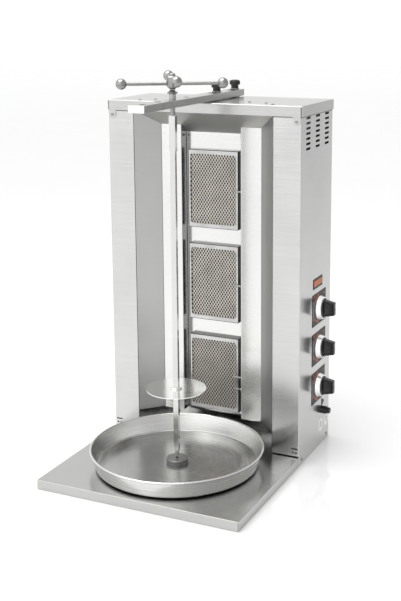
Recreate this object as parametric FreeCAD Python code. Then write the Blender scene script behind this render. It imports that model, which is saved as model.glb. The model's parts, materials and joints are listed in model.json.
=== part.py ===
import FreeCAD
import Part

import math
import os

# Vertical gas rotisserie broiler: a tabletop casing with three radiant burners in a splayed recess,
# a spit turned by a hand crank in front of them, an arm on the casing's top that steadies the spit's
# upper end, and a drip pan on the base tray that carries its point.
# Millimetres, +Z up, -Y to the front, +X to the control side.
# The origin is on the spit's axis, at the level of the table.

Vector = FreeCAD.Vector
X_AXIS = Vector(1, 0, 0)
Y_AXIS = Vector(0, 1, 0)
Z_AXIS = Vector(0, 0, 1)

# ---- Overall sizes -------------------------------------------------------------------------------
CASING_WIDTH = 500.0
CASING_DEPTH = 213.0
CASING_TOP = 856.0          # upper face of the top cover
SPIT_REACH = 143.0          # spit axis to the casing's front face
TRAY_REACH = 210.0          # spit axis to the base tray's front edge
TRAY_HEIGHT = 22.0

# ---- Sheet metal and clearances ------------------------------------------------------------------
SHEET = 1.2
SEAM = 0.2                  # between sheets that meet
BEND = 1.0                  # inside bend radius
MOVING_GAP = 0.4            # between faces that move past each other
RUNNING = 0.05              # radial clearance of a running fit
LOOSE = 0.5                 # radial clearance of a screw or a rod through a hole
TRAY_FLANGE = 28.0
TRAY_LIFT = 2.5             # columns above the tray
REAR_FLANGE = 14.0

# ---- Recess, seen from above ---------------------------------------------------------------------
COLUMN_WIDTH = 69.5
WING_RUN = 48.5             # depth, and width, of the 45 degree wings
INNER_PANEL_WIDTH = 54.0
RECESS_STEP = 28.0
RECESS_CLEAR = 8.0          # pan's rim to the recess sheets' lower edge
CAVITY_DEPTH = 112.0        # of the space under the recess that the pan slides into
LIP_HEIGHT = 24.5
HOOD_SLOPE = 0.70           # drop per millimetre of depth
OVERLAP = 18.0              # flanges behind the columns
RECESS_FLANGE = 13.0        # behind the burner panel
TOP_FLANGE = 16.0           # under the top cover

# ---- Vents and marks of the casing ---------------------------------------------------------------
VENT_LENGTH = 28.0
VENT_HEIGHT = 5.6
VENT_COLUMNS = 3
VENT_COLUMN_PITCH = 63.5
VENT_ROWS = 7
VENT_PITCH = 11.8
VENT_SETBACK = 44.0         # casing front to the first column
VENT_DROP = 30.0            # casing top to the first row
TAB_WIDTH = 19.0
TAB_DROP = 20.0
TAB_INSET = 11.5            # casing side to the tab's middle
CORNER_SLIT = 2.2           # between the cover's lip and its side flange

# ---- Burners -------------------------------------------------------------------------------------
BURNER_COUNT = 3
BURNER_PITCH = 232.0
LOWEST_BURNER = 177.0       # centre height
FRAME_WIDTH = 133.0
FRAME_HEIGHT = 192.0
FRAME_PROUD = 14.0          # in front of the burner panel
FRAME_SIDE = 5.5            # opening to the frame's side
FRAME_END = 10.5            # opening to the frame's upper and lower ends
OPENING_CORNER = 8.0
OPENING_RIM = 4.0
GAUZE_THICK = 0.8
PLAQUE_THICK = 13.0
BODY_MARGIN = 4.0           # frame's edge to the burner body's side
BODY_WALL = 1.5
BODY_DEPTH = 55.0
VENTURI_R = 13.0
VENTURI_REACH = 112.0       # centre plane to the venturi's mouth
VENTURI_SETBACK = 16.0      # burner body's rear to the venturi's axis
RAIL_WIDTH = 22.0
RAIL_DEPTH = 12.0
RAIL_OVERLAP = 10.0         # of the rails behind the deflectors' flanges

# ---- Controls on the right panel -----------------------------------------------------------------
LOWEST_TAP = 161.0
TAP_PITCH = 98.5
TAP_SETBACK = 130.0         # casing front to the knobs' axis
PLATE_DEPTH = 92.0
PLATE_HEIGHT = 79.0
PLATE_THICK = 0.8
BEZEL_FLARE = 6.0           # bore to the bezel's foot
BEZEL_LIP = 2.0             # bore to the bezel's top edge
BEZEL_CLEAR = 1.5           # knob to the bezel's bore
BEZEL_HEIGHT = 13.0
KNOB_R = 22.5
KNOB_PROUD = 41.0           # knob's outer face from the panel
KNOB_BAR = 15.0             # thickness of the grip
KNOB_GAP = 6.0              # panel to the knob's back
KNOB_BASE = 10.0
TAP_PUSH = 4.0
TAP_BODY_R = 14.0
TAP_NOSE_R = 9.5
TAP_LENGTH = 56.0           # tap body, inwards from the panel
TAP_NOSE = 13.0
PLUG_R = 7.0
PLUG_LENGTH = 25.0
TANG = 6.0
COLLAR_THICK = 3.0
COLLAR_STEP = 2.4           # spindle to its collar's edge
SPINDLE_R = 4.0
SPRING_WIRE_R = 0.55
SPRING_CLEAR = 0.75         # spindle to the spring's wire
SPRING_TURNS = 5
IGNITER_HEIGHT = 86.0
IGNITER_SETBACK = 162.0
IGNITER_PUSH = 5.0
IGNITER_BARREL = 22.0       # inwards from the panel
IGNITER_COLLAR = 13.0       # outwards from the panel
IGNITER_WALL = 2.0          # collar round the button
BUTTON_R = 7.5

# ---- Gas pipes and probes ------------------------------------------------------------------------
MANIFOLD_R = 9.0
MANIFOLD_GAP = 34.0         # taps' axis to the manifold's axis
MANIFOLD_INSET = 36.0       # casing side to the manifold's axis
MANIFOLD_FOOT = 58.0
INLET_R = 10.5
INLET_LENGTH = 16.0
INLET_PROUD = 22.0          # beyond the rear panel
PIPE_R = 4.0
PIPE_BEND = 12.0
PIPE_X = 160.0
LEAD_R = 1.0
LEAD_BEND = 5.0
PROBE_R = 2.0
CERAMIC_R = 3.4
PROBE_REACH = 54.0          # centre plane to the probe's tip
SHIELD_X = 147.0
SHIELD_DROP = 128.0         # cover's upper face to the shield's top

# ---- Arm and clamps ------------------------------------------------------------------------------
ARM_WIDTH = 38.0
ARM_HEIGHT = 16.0
ARM_WALL = 1.5
ARM_FRONT = 164.0           # spit axis to the arm's front end
ARM_REAR = 349.5            # spit axis to the arm's rear end
ARM_TRAVEL = 40.0
ARM_LIFT = 2.5              # cover to the arm
ARM_HOLE_R = 7.0
ARM_HOLE_PITCH = 68.0
BUSH_WALL = 2.1             # round the crank's shaft, in the arm's hole
BUSH_PROUD = 12.0           # above the arm
CLAMP_REAR = 335.0          # spit axis to the rear clamp
CLAMP_PITCH = 105.5
CLAMP_R = 4.0
CLAMP_WASHER_R = 11.0
CLAMP_WASHER = 2.0
CLAMP_STEM_R = 9.2
CLAMP_HEAD_R = 12.2
CLAMP_LOBE_R = 3.2
CLAMP_LOBES = 6
CLAMP_HEIGHT = 23.0         # arm to the knob's top
CLAMP_HEAD = 11.5
SPACER_R = 12.0
SUPPORT_THICK = 3.0
SUPPORT_MARGIN = 2.0        # support plate beyond the rails
NUT_R = 8.0
NUT_HEIGHT = 8.0

# ---- Spit and crank ------------------------------------------------------------------------------
SPIT_SIZE = 12.0
SPIT_TURN = 9.0             # degrees between the bar's faces and the casing
POINT_LENGTH = 27.0         # of the tapered point above the pan's hub
POINT_END = 1.5             # width of the blunted point
SOCKET_WALL = 1.3
SOCKET_LENGTH = 79.5
SOCKET_DROP = 19.5          # arm's lower face to the socket's top
SOCKET_GRIP = 41.0          # length of bar inside the socket
HOLE_PITCH = 57.0
LOWEST_HOLE = 88.0
HOLE_COUNT = 3
HOLE_R = 3.0
DISC_R = 69.5
DISC_THICK = 2.0
PIN_LENGTH = 34.0
CRANK_SHAFT_R = 5.5
CRANK_TURN = 32.0           # degrees between the lower rod and the casing
TANG_SIZE = 7.6
TANG_LENGTH = 32.0
COLLAR_RISE = 6.5           # bush to the top of the crank's collar
CRANK_COLLAR_R = 12.0
CRANK_HUB_R = 13.5
CRANK_CAP = 11.5            # upper rod to the crank's top
ROD_R = 4.0
ROD_REACH = 112.0           # axis to ball centre
BALL_R = 12.2
ROD_RISE = 16.5             # collar's top to the lower rod
ROD_STEP = 11.0             # lower rod to the upper rod

# ---- Pan -----------------------------------------------------------------------------------------
PAN_RIM_R = 204.0
PAN_BASE_R = 190.0
PAN_DEPTH = 42.4            # base to rim
PAN_SHEET = 1.5
PAN_RAISE = 2.6             # base above the tray
PAN_BEAD_R = 2.6
PAN_CORNER = 5.0
PAN_FOOT_R = 150.0
PAN_FOOT_WIDTH = 12.0
PAN_HUB_R = 25.5
PAN_HUB_HEIGHT = 12.4
POINT_SEAT = 5.6            # depth of the hub's seat for the spit's point

# ---- Screws -------------------------------------------------------------------------------------
SCREW_R = 2.0
SCREW_HEAD_R = 3.7
SCREW_HEAD = 1.9
SCREW_LENGTH = 5.0

# ---- Planes and places worked out from the sizes above -------------------------------------------
HALF_WIDTH = CASING_WIDTH / 2
PANEL_IN = HALF_WIDTH - SHEET
FRONT_Y = SPIT_REACH
REAR_Y = SPIT_REACH + CASING_DEPTH
REAR_IN = REAR_Y - SHEET - SEAM
TRAY_TOP = TRAY_HEIGHT
PAN_FLOOR = TRAY_TOP + PAN_RAISE
PAN_TOP = PAN_FLOOR + PAN_DEPTH
PAN_HUB_TOP = PAN_FLOOR + PAN_HUB_HEIGHT
RECESS_BOTTOM = PAN_TOP + RECESS_CLEAR
PANEL_TOP = CASING_TOP - SHEET - BEND
SUPPORT_TOP = CASING_TOP - SHEET - SEAM
LIP_BOTTOM = CASING_TOP - LIP_HEIGHT
WING_X = HALF_WIDTH - COLUMN_WIDTH
INNER_X = WING_X - WING_RUN
RECESS_X = INNER_X - INNER_PANEL_WIDTH
WING_Y = FRONT_Y + SHEET + SEAM
INNER_Y = WING_Y + WING_RUN
RECESS_Y = INNER_Y + RECESS_STEP
CAVITY_Y = FRONT_Y + CAVITY_DEPTH
BURNER_PANEL_Y = RECESS_Y - SHEET - SEAM
FRAME_Y = BURNER_PANEL_Y - FRAME_PROUD
OPENING_WIDTH = FRAME_WIDTH - 2 * FRAME_SIDE
OPENING_HEIGHT = FRAME_HEIGHT - 2 * FRAME_END
GAUZE_Y = FRAME_Y + OPENING_RIM + SEAM
BODY_Y = GAUZE_Y + GAUZE_THICK + SEAM
BODY_REAR = BODY_Y + BODY_DEPTH
BODY_X = FRAME_WIDTH / 2 - BODY_MARGIN
BODY_HALF_HEIGHT = FRAME_HEIGHT / 2 - BODY_MARGIN
PLAQUE_REAR = BODY_Y + PLAQUE_THICK
VENTURI_Y = BODY_REAR - VENTURI_SETBACK
BURNER_Z = [LOWEST_BURNER + i * BURNER_PITCH for i in range(BURNER_COUNT)]
RAIL_X = RECESS_X - RAIL_OVERLAP
RAIL_Y = RECESS_Y + SHEET + SEAM
TAP_Z = [LOWEST_TAP + i * TAP_PITCH for i in range(BURNER_COUNT)]
TAP_Y = FRONT_Y + TAP_SETBACK
TAP_IN = PANEL_IN - TAP_LENGTH
PLUG_X = TAP_IN + 7.0
PLUG_END = PLUG_X + PLUG_LENGTH
COLLAR_X = PANEL_IN - 7.0 - COLLAR_THICK - MOVING_GAP
COLLAR_R = SPINDLE_R + COLLAR_STEP
SPRING_COIL_R = SPINDLE_R + SPRING_CLEAR + SPRING_WIRE_R
PLATE_OUT = HALF_WIDTH + PLATE_THICK
BEZEL_BORE_R = KNOB_R + BEZEL_CLEAR
BEZEL_TOP_R = BEZEL_BORE_R + BEZEL_LIP
BEZEL_R = BEZEL_BORE_R + BEZEL_FLARE
IGNITER_R = BUTTON_R + IGNITER_WALL
IGNITER_Y = FRONT_Y + IGNITER_SETBACK
IGNITER_IN = PANEL_IN - IGNITER_BARREL
IGNITER_OUT = HALF_WIDTH + IGNITER_COLLAR
BUTTON_IN = IGNITER_IN + 4.0 + IGNITER_PUSH
BUTTON_OUT = IGNITER_OUT + 3.0 + IGNITER_PUSH
MANIFOLD_X = HALF_WIDTH - MANIFOLD_INSET
MANIFOLD_Y = TAP_Y - MANIFOLD_GAP
PROBE_Y = FRAME_Y - 4.0
ELECTRODE_Z = LOWEST_BURNER - 30.0
ARM_BOTTOM = CASING_TOP + ARM_LIFT
ARM_TOP = ARM_BOTTOM + ARM_HEIGHT
BUSH_TOP = ARM_TOP + BUSH_PROUD
BUSH_NECK_R = CRANK_SHAFT_R + BUSH_WALL
SHIELD_TOP = CASING_TOP - SHIELD_DROP
CLAMP_Y = [CLAMP_REAR - CLAMP_PITCH, CLAMP_REAR]
WASHER_BOTTOM = ARM_TOP + MOVING_GAP
STEM_BOTTOM = WASHER_BOTTOM + CLAMP_WASHER + MOVING_GAP
CLAMP_TOP = ARM_TOP + CLAMP_HEIGHT
SUPPORT_UNDER = SUPPORT_TOP - SUPPORT_THICK
HOLE_Z = [LOWEST_HOLE + i * HOLE_PITCH for i in range(HOLE_COUNT)]
PIN_Z = HOLE_Z[-1]
DISC_UNDER = PIN_Z + HOLE_R + MOVING_GAP
POINT_TOP = PAN_HUB_TOP + POINT_LENGTH
SOCKET_SIZE = SPIT_SIZE + 2 * SOCKET_WALL
SOCKET_TOP = ARM_BOTTOM - SOCKET_DROP
SOCKET_BOTTOM = SOCKET_TOP - SOCKET_LENGTH
SPIT_TOP = SOCKET_BOTTOM + SOCKET_GRIP
SHAFT_END = SOCKET_TOP + MOVING_GAP
COLLAR_TOP = BUSH_TOP + COLLAR_RISE
LOWER_ROD = COLLAR_TOP + ROD_RISE
UPPER_ROD = LOWER_ROD + ROD_STEP
CRANK_TOP = UPPER_ROD + CRANK_CAP


# ---- Shape helpers -------------------------------------------------------------------------------
def box(x0, x1, y0, y1, z0, z1):
    return Part.makeBox(x1 - x0, y1 - y0, z1 - z0, Vector(x0, y0, z0))


def cylinder_x(radius, x0, x1, y, z):
    return Part.makeCylinder(radius, x1 - x0, Vector(x0, y, z), X_AXIS)


def cylinder_y(radius, y0, y1, x, z):
    return Part.makeCylinder(radius, y1 - y0, Vector(x, y0, z), Y_AXIS)


def cylinder_z(radius, z0, z1, x=0.0, y=0.0):
    return Part.makeCylinder(radius, z1 - z0, Vector(x, y, z0), Z_AXIS)


def closed_face(corners):
    return Part.Face(Part.makePolygon(corners + [corners[0]]))


def prism(points, z0, z1):
    """A polygon in plan, given as (x, y) points, raised from z0 to z1."""
    corners = [Vector(x, y, z0) for x, y in points]
    return closed_face(corners).extrude(Vector(0, 0, z1 - z0))


def section_x(points, x0, x1):
    """A polygon in the vertical plane along Y, given as (y, z) points, stretched from x0 to x1."""
    corners = [Vector(x0, y, z) for y, z in points]
    return closed_face(corners).extrude(Vector(x1 - x0, 0, 0))


def turned(points, x=0.0, y=0.0):
    """A body turned about a vertical axis at (x, y), from its (radius, height) outline."""
    corners = [Vector(x + r, y, z) for r, z in points]
    return closed_face(corners).revolve(Vector(x, y, 0), Z_AXIS, 360)


def turned_x(points, y, z):
    """A body turned about an axis along X at (y, z), from its (x, radius) outline."""
    corners = [Vector(x, y, z + r) for x, r in points]
    return closed_face(corners).revolve(Vector(0, y, z), X_AXIS, 360)


def square_bar(size, z0, z1):
    """A square bar on the spit's axis, with its faces at the spit's angle."""
    bar = box(-size / 2, size / 2, -size / 2, size / 2, z0, z1)
    bar.rotate(Vector(0, 0, 0), Z_AXIS, SPIT_TURN)
    return bar


def mirrored(shape):
    return shape.mirror(Vector(0, 0, 0), X_AXIS)


def joined(shapes):
    return shapes[0].multiFuse(shapes[1:]).removeSplitter()


def with_holes(shape, cutters):
    return shape.cut(Part.makeCompound(cutters))


def rounded_plate(width, height, corner, y0, y1, z):
    """A plate across the front with rounded corners, centred on the centre plane at height z."""
    plate = box(-width / 2, width / 2, y0, y1, z - height / 2, z + height / 2)
    edges = [e for e in plate.Edges if abs(e.Vertexes[0].Point.y - e.Vertexes[1].Point.y) > (y1 - y0) / 2]
    return plate.makeFillet(corner, edges)


def offset_outline(points, distance):
    """The outline moved sideways, to the left of its direction, with mitred corners."""
    normals = []
    for (x0, y0), (x1, y1) in zip(points, points[1:]):
        length = math.hypot(x1 - x0, y1 - y0)
        normals.append(((y0 - y1) / length, (x1 - x0) / length))
    moved = []
    for i, (x, y) in enumerate(points):
        before = normals[max(i - 1, 0)]
        after = normals[min(i, len(normals) - 1)]
        share = distance / (1 + before[0] * after[0] + before[1] * after[1])
        moved.append((x + share * (before[0] + after[0]), y + share * (before[1] + after[1])))
    return moved


def edges_over(shape, place):
    """The shape's vertical edges that stand at a place in plan."""
    found = []
    for edge in shape.Edges:
        first, last = (vertex.Point for vertex in (edge.Vertexes[0], edge.Vertexes[-1]))
        if all(math.hypot(p.x - place[0], p.y - place[1]) < 1e-4 for p in (first, last)):
            found.append(edge)
    return found


def folded_sheet(points, z0, z1):
    """Sheet metal folded along vertical bends, with its thickness to the left of the outline."""
    far_side = offset_outline(points, SHEET)
    sheet = prism(points + far_side[::-1], z0, z1)
    for i in range(1, len(points) - 1):
        (x0, y0), (x1, y1), (x2, y2) = points[i - 1:i + 2]
        turns_left = (x1 - x0) * (y2 - y1) - (y1 - y0) * (x2 - x1) > 0
        outer, inner = (points[i], far_side[i]) if turns_left else (far_side[i], points[i])
        sheet = sheet.makeFillet(BEND + SHEET, edges_over(sheet, outer))
        sheet = sheet.makeFillet(BEND, edges_over(sheet, inner))
    return sheet


def slot_x(length, height, x0, x1, y, z):
    """A cutter for a round-ended slot through a side panel, long along Y."""
    reach = (length - height) / 2
    middle = box(x0, x1, y - reach, y + reach, z - height / 2, z + height / 2)
    return joined([middle] + [cylinder_x(height / 2, x0, x1, y + side * reach, z) for side in (-1, 1)])


def slot_y(length, height, y0, y1, x, z):
    """A cutter for a round-ended slot through the front or the rear, long along X."""
    reach = (length - height) / 2
    middle = box(x - reach, x + reach, y0, y1, z - height / 2, z + height / 2)
    return joined([middle] + [cylinder_y(height / 2, y0, y1, x + side * reach, z) for side in (-1, 1)])


def slot_z(length, width, z0, z1, x, y):
    """A cutter for a round-ended slot down through the arm, its end centres at y and y + length."""
    middle = box(x - width / 2, x + width / 2, y, y + length, z0, z1)
    return joined([middle] + [cylinder_z(width / 2, z0, z1, x, end) for end in (y, y + length)])


def bent_tube(points, radius, corner):
    """A round bar or tube along straight runs that arcs of the corner radius join."""
    places = [Vector(*point) for point in points]
    edges = []
    start = places[0]
    for i in range(1, len(places) - 1):
        back = (places[i - 1] - places[i]).normalize()
        ahead = (places[i + 1] - places[i]).normalize()
        half_angle = back.getAngle(ahead) / 2
        trim = corner / math.tan(half_angle)
        inwards = (back + ahead).normalize()
        middle = places[i] + inwards * (corner / math.sin(half_angle) - corner)
        edges.append(Part.LineSegment(start, places[i] + back * trim).toShape())
        edges.append(Part.Arc(places[i] + back * trim, middle, places[i] + ahead * trim).toShape())
        start = places[i] + ahead * trim
    edges.append(Part.LineSegment(start, places[-1]).toShape())
    section = Part.Wire([Part.makeCircle(radius, places[0], places[1] - places[0])])
    return Part.Wire(edges).makePipeShell([section], True, False)


# ---- Screws --------------------------------------------------------------------------------------
def recess_stations():
    """Where the screws along the recess stand on the top cover, on the control side."""
    return [
        (WING_X - 8, WING_Y + 17),
        (INNER_X + 13, INNER_Y - 4),
        (RECESS_X + 20, INNER_Y + 9),
    ]


def screw_stations():
    """Every casing screw: the place where its head seats, and the way that its head points."""
    tab_x = HALF_WIDTH - TAB_INSET
    stations = []
    for side in (-1, 1):
        stations.append(((side * tab_x, FRONT_Y - SEAM - SHEET, LIP_BOTTOM - TAB_DROP * 0.55), -Y_AXIS))
        stations.append(((side * (RECESS_X - 8), BURNER_PANEL_Y, LIP_BOTTOM - 62), -Y_AXIS))
        for setback in (19, CASING_DEPTH - 18):
            stations.append(((side * HALF_WIDTH, FRONT_Y + setback, TRAY_HEIGHT / 2), X_AXIS * side))
        for x, y in recess_stations():
            stations.append(((side * x, y, CASING_TOP), Z_AXIS))
        for z in (LIP_BOTTOM - 12, CASING_TOP / 2, TRAY_TOP + 16):
            stations.append(((side * (HALF_WIDTH - 9), REAR_Y, z), Y_AXIS))
    return stations


def screw(place, outwards):
    """A pan head screw with its head on the sheet and its shank through it."""
    outline = [
        (0, -SCREW_LENGTH), (SCREW_R, -SCREW_LENGTH), (SCREW_R, 0), (SCREW_HEAD_R, 0),
        (SCREW_HEAD_R, SCREW_HEAD * 0.5), (SCREW_HEAD_R * 0.7, SCREW_HEAD), (0, SCREW_HEAD),
    ]
    solid = turned(outline)
    solid = solid.cut(box(-0.5, 0.5, -SCREW_HEAD_R, SCREW_HEAD_R, SCREW_HEAD * 0.5, SCREW_HEAD))
    solid.Placement = FreeCAD.Placement(Vector(*place), FreeCAD.Rotation(Z_AXIS, outwards))
    return solid


def screw_holes(outwards):
    """Cutters for the screws whose heads point one way."""
    places = [Vector(*place) for place, way in screw_stations() if (way - outwards).Length < 1e-6]
    radius = SCREW_R + SEAM
    return [Part.makeCylinder(radius, SCREW_LENGTH + 2, place + outwards, -outwards) for place in places]


def make_casing_screws():
    return Part.makeCompound([screw(place, way) for place, way in screw_stations()])


# ---- Base ----------------------------------------------------------------------------------------
def tray_outline(inset):
    """The tray in plan: full width in front of the casing, narrower between its side panels."""
    front = inset - TRAY_REACH
    wide = HALF_WIDTH - inset
    narrow = PANEL_IN - SEAM - inset
    step = FRONT_Y - SEAM - inset
    rear = REAR_IN - inset
    right = [(wide, front), (wide, step), (narrow, step), (narrow, rear)]
    return right + [(-x, y) for x, y in reversed(right)]


def make_base_tray():
    """A sheet tray turned upside down, with a flange turned in along its lower edge."""
    tray = prism(tray_outline(0), 0, TRAY_TOP)
    top_front = [e for e in tray.Edges if all(
        abs(v.Point.z - TRAY_TOP) < 1e-6 and v.Point.y < FRONT_Y - SEAM + 1e-6 for v in e.Vertexes)]
    outer_edges = [e for e in top_front if e.Length > COLUMN_WIDTH]
    tray = tray.makeFillet(BEND, outer_edges)
    tray = tray.cut(prism(tray_outline(SHEET), SHEET, TRAY_TOP - SHEET))
    tray = tray.cut(prism(tray_outline(TRAY_FLANGE), 0, SHEET))
    open_side, open_front = PANEL_IN - SEAM, SHEET + SEAM - TRAY_REACH
    notch = box(open_side, HALF_WIDTH, -TRAY_REACH, open_front, 0, TRAY_TOP - SHEET)
    return with_holes(tray, [notch, mirrored(notch)] + screw_holes(X_AXIS) + screw_holes(-X_AXIS))


def make_tray_stiffener():
    """A hat channel across the tray under the spit, standing on the side flanges."""
    reach = PANEL_IN - SEAM - SHEET - SEAM
    foot = SHEET + SEAM
    top = TRAY_TOP - SHEET - SEAM - SHEET
    half_crown = 32.0
    half_hat = half_crown + 16.0
    under = [
        (-half_hat, foot), (-half_crown, foot), (-half_crown, top),
        (half_crown, top), (half_crown, foot), (half_hat, foot),
    ]
    return section_x(under + offset_outline(under, SHEET)[::-1], -reach, reach)


# ---- Casing --------------------------------------------------------------------------------------
def side_vents():
    cutters = []
    for column in range(VENT_COLUMNS):
        y = FRONT_Y + VENT_SETBACK + column * VENT_COLUMN_PITCH
        for row in range(VENT_ROWS):
            z = CASING_TOP - VENT_DROP - row * VENT_PITCH
            cutters.append(slot_x(VENT_LENGTH, VENT_HEIGHT, PANEL_IN - 1, HALF_WIDTH + 1, y, z))
    return cutters


def make_plain_side_panel():
    """The control side's panel before its control holes: side, column front and rear flange."""
    corner_y = REAR_IN
    outline = [
        (WING_X, FRONT_Y), (HALF_WIDTH, FRONT_Y), (HALF_WIDTH, corner_y),
        (HALF_WIDTH - REAR_FLANGE, corner_y),
    ]
    panel = folded_sheet(outline, SEAM, PANEL_TOP)
    under_column = TRAY_TOP + TRAY_LIFT
    cutters = side_vents()
    cutters.append(box(WING_X - 1, PANEL_IN, FRONT_Y - 1, FRONT_Y + SHEET + BEND + 1, 0, under_column))
    cutters.append(box(WING_X - 1, PANEL_IN, REAR_IN - SHEET - BEND - 1, REAR_Y, 0, under_column))
    relief = CORNER_SLIT + SHEET
    inner = FRONT_Y + BEND + SHEET
    cutters.append(box(HALF_WIDTH - relief, PANEL_IN, FRONT_Y - 1, inner, LIP_BOTTOM + 1, CASING_TOP))
    mark_x = HALF_WIDTH - TAB_INSET
    cutters.append(slot_y(17.0, 3.0, FRONT_Y - 1, WING_Y, mark_x, under_column + 18))
    for x in (mark_x - 4, mark_x + 4):
        cutters.append(cylinder_y(2.3, FRONT_Y - 1, WING_Y, x, under_column + 8.5))
    cutters += screw_holes(-Y_AXIS) + screw_holes(X_AXIS) + screw_holes(Y_AXIS)
    return with_holes(panel, cutters)


def make_side_panel_right():
    cutters = [cylinder_x(SPINDLE_R + LOOSE, PANEL_IN - 1, HALF_WIDTH + 1, TAP_Y, z) for z in TAP_Z]
    igniter_hole = IGNITER_R - 1.5 + SEAM
    cutters.append(cylinder_x(igniter_hole, PANEL_IN - 1, HALF_WIDTH + 1, IGNITER_Y, IGNITER_HEIGHT))
    return with_holes(make_plain_side_panel(), cutters)


def make_side_panel_left():
    return mirrored(make_plain_side_panel())


def make_plain_deflector():
    """The splayed wing, inner panel and recess side in one sheet, with flanges to screw it by."""
    bends = [(RECESS_X, INNER_Y), (INNER_X, INNER_Y), (WING_X, WING_Y)]
    flange = [(RECESS_X - RECESS_FLANGE, RECESS_Y), (RECESS_X, RECESS_Y)]
    outline = flange + bends + [(WING_X + OVERLAP, WING_Y)]
    sheet = folded_sheet(outline, RECESS_BOTTOM, PANEL_TOP)
    top_flange = prism(bends + offset_outline(bends, TOP_FLANGE)[::-1], PANEL_TOP - SHEET, PANEL_TOP)
    return with_holes(joined([sheet, top_flange]), screw_holes(-Y_AXIS) + screw_holes(Z_AXIS))


def make_deflector_right():
    """The control side's deflector, with holes for the probes and the electrode."""
    holes = [cylinder_x(PROBE_R + LOOSE, RECESS_X - 1, RECESS_X + 3, PROBE_Y, z) for z in BURNER_Z]
    holes.append(cylinder_x(CERAMIC_R + LOOSE, RECESS_X - 1, RECESS_X + 3, PROBE_Y, ELECTRODE_Z))
    return with_holes(make_plain_deflector(), holes)


def make_deflector_left():
    return mirrored(make_plain_deflector())


def hood_height(y):
    """The hood's lower face at a depth."""
    return LIP_BOTTOM - HOOD_SLOPE * (y - FRONT_Y)


def make_burner_panel():
    top = hood_height(BURNER_PANEL_Y) + 25
    half = RECESS_X - BEND
    panel = box(-half, half, BURNER_PANEL_Y, BURNER_PANEL_Y + SHEET, RECESS_BOTTOM - 5, top)
    gap = 1.0
    openings = []
    for z in BURNER_Z:
        reach = BODY_HALF_HEIGHT + gap
        opening = box(-BODY_X - gap, BODY_X + gap, BURNER_PANEL_Y - 1, RECESS_Y, z - reach, z + reach)
        openings.append(opening)
    return with_holes(panel, openings + screw_holes(-Y_AXIS))


def make_hood_panel():
    """The sloped sheet above the burners, cut to the recess in plan, with a flange behind the lip."""
    gap = 0.4
    rear = BURNER_PANEL_Y - gap
    right = [
        (WING_X - gap, FRONT_Y), (WING_X - gap, WING_Y - gap), (INNER_X - gap, INNER_Y - gap),
        (RECESS_X - gap, INNER_Y - gap), (RECESS_X - gap, rear),
    ]
    plan = prism(right + [(-x, y) for x, y in reversed(right)], hood_height(rear) - 10, PANEL_TOP)
    under = [(rear, hood_height(rear)), (FRONT_Y, LIP_BOTTOM), (FRONT_Y, PANEL_TOP - 1)]
    slope = section_x(under + offset_outline(under, -SHEET)[::-1], -WING_X, WING_X)
    return plan.common(slope)


def make_kick_panel():
    """The walls and roof of the low space under the recess that the pan's rear edge goes into."""
    walls = folded_sheet(
        [(-WING_X, WING_Y + SEAM), (-WING_X, CAVITY_Y), (WING_X, CAVITY_Y), (WING_X, WING_Y + SEAM)],
        TRAY_TOP + SEAM, RECESS_BOTTOM - SEAM)
    roof_z = RECESS_BOTTOM - SEAM - SHEET
    cut_line = SHEET + SEAM
    right = [
        (WING_X - cut_line, WING_Y + SHEET), (INNER_X + SHEET, INNER_Y + SHEET / 2),
        (RECESS_X + SHEET / 2, INNER_Y + SHEET / 2), (RECESS_X + SHEET / 2, RECESS_Y + SHEET),
    ]
    front_edge = right + [(-x, y) for x, y in reversed(right)]
    roof = prism([(WING_X, WING_Y + SHEET)] + front_edge + [
        (-WING_X, WING_Y + SHEET), (-WING_X, CAVITY_Y), (WING_X, CAVITY_Y)], roof_z, roof_z + SHEET)
    return joined([walls, roof])


def make_top_cover():
    """The cover with its front lip, side and rear flanges, and the two screwed tabs on the lip."""
    half = HALF_WIDTH + SEAM + SHEET
    front = FRONT_Y - SEAM - SHEET
    rear = REAR_Y + SEAM + SHEET
    shells = []
    for inset, radius in ((0, BEND + SHEET), (SHEET, BEND)):
        x, top = half - inset, CASING_TOP - inset
        shell = box(-x, x, front + inset, rear - inset, LIP_BOTTOM, top)
        top_edges = [e for e in shell.Edges if all(v.Point.z > top - 0.01 for v in e.Vertexes)]
        shells.append(shell.makeFillet(radius, top_edges))
    cover = shells[0].cut(shells[1])
    tab_bottom = LIP_BOTTOM - TAB_DROP + TAB_WIDTH / 2
    for side in (-1, 1):
        x = side * (HALF_WIDTH - TAB_INSET)
        flat = box(x - TAB_WIDTH / 2, x + TAB_WIDTH / 2, front, front + SHEET, tab_bottom, LIP_BOTTOM)
        end = cylinder_y(TAB_WIDTH / 2, front, front + SHEET, x, tab_bottom)
        cover = joined([cover, flat, end])
    slit_top = CASING_TOP - BEND - SHEET
    slit = box(half - SHEET - CORNER_SLIT, half, front, front + SHEET, LIP_BOTTOM, slit_top)
    cutters = [slit, mirrored(slit)]
    for y in CLAMP_Y:
        cutters.append(cylinder_z(CLAMP_R + LOOSE, CASING_TOP - 2, CASING_TOP + 1, 0, y))
    return with_holes(cover, cutters + screw_holes(-Y_AXIS) + screw_holes(Z_AXIS))


def make_rear_panel():
    half = HALF_WIDTH - 1
    panel = box(-half, half, REAR_Y - SHEET, REAR_Y, SEAM, PANEL_TOP)
    cutters = []
    for height in (CASING_TOP - 70, CASING_TOP / 2, TRAY_TOP + 70):
        for row in range(5):
            for column in (-2, -1, 0, 1, 2):
                z = height - row * VENT_PITCH
                x = column * (VENT_LENGTH + 12)
                cutters.append(slot_y(VENT_LENGTH, VENT_HEIGHT, REAR_Y - 2, REAR_Y + 1, x, z))
    cutters.append(cylinder_y(INLET_R + LOOSE, REAR_Y - 2, REAR_Y + 1, MANIFOLD_X, MANIFOLD_FOOT))
    return with_holes(panel, cutters + screw_holes(Y_AXIS))


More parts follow.
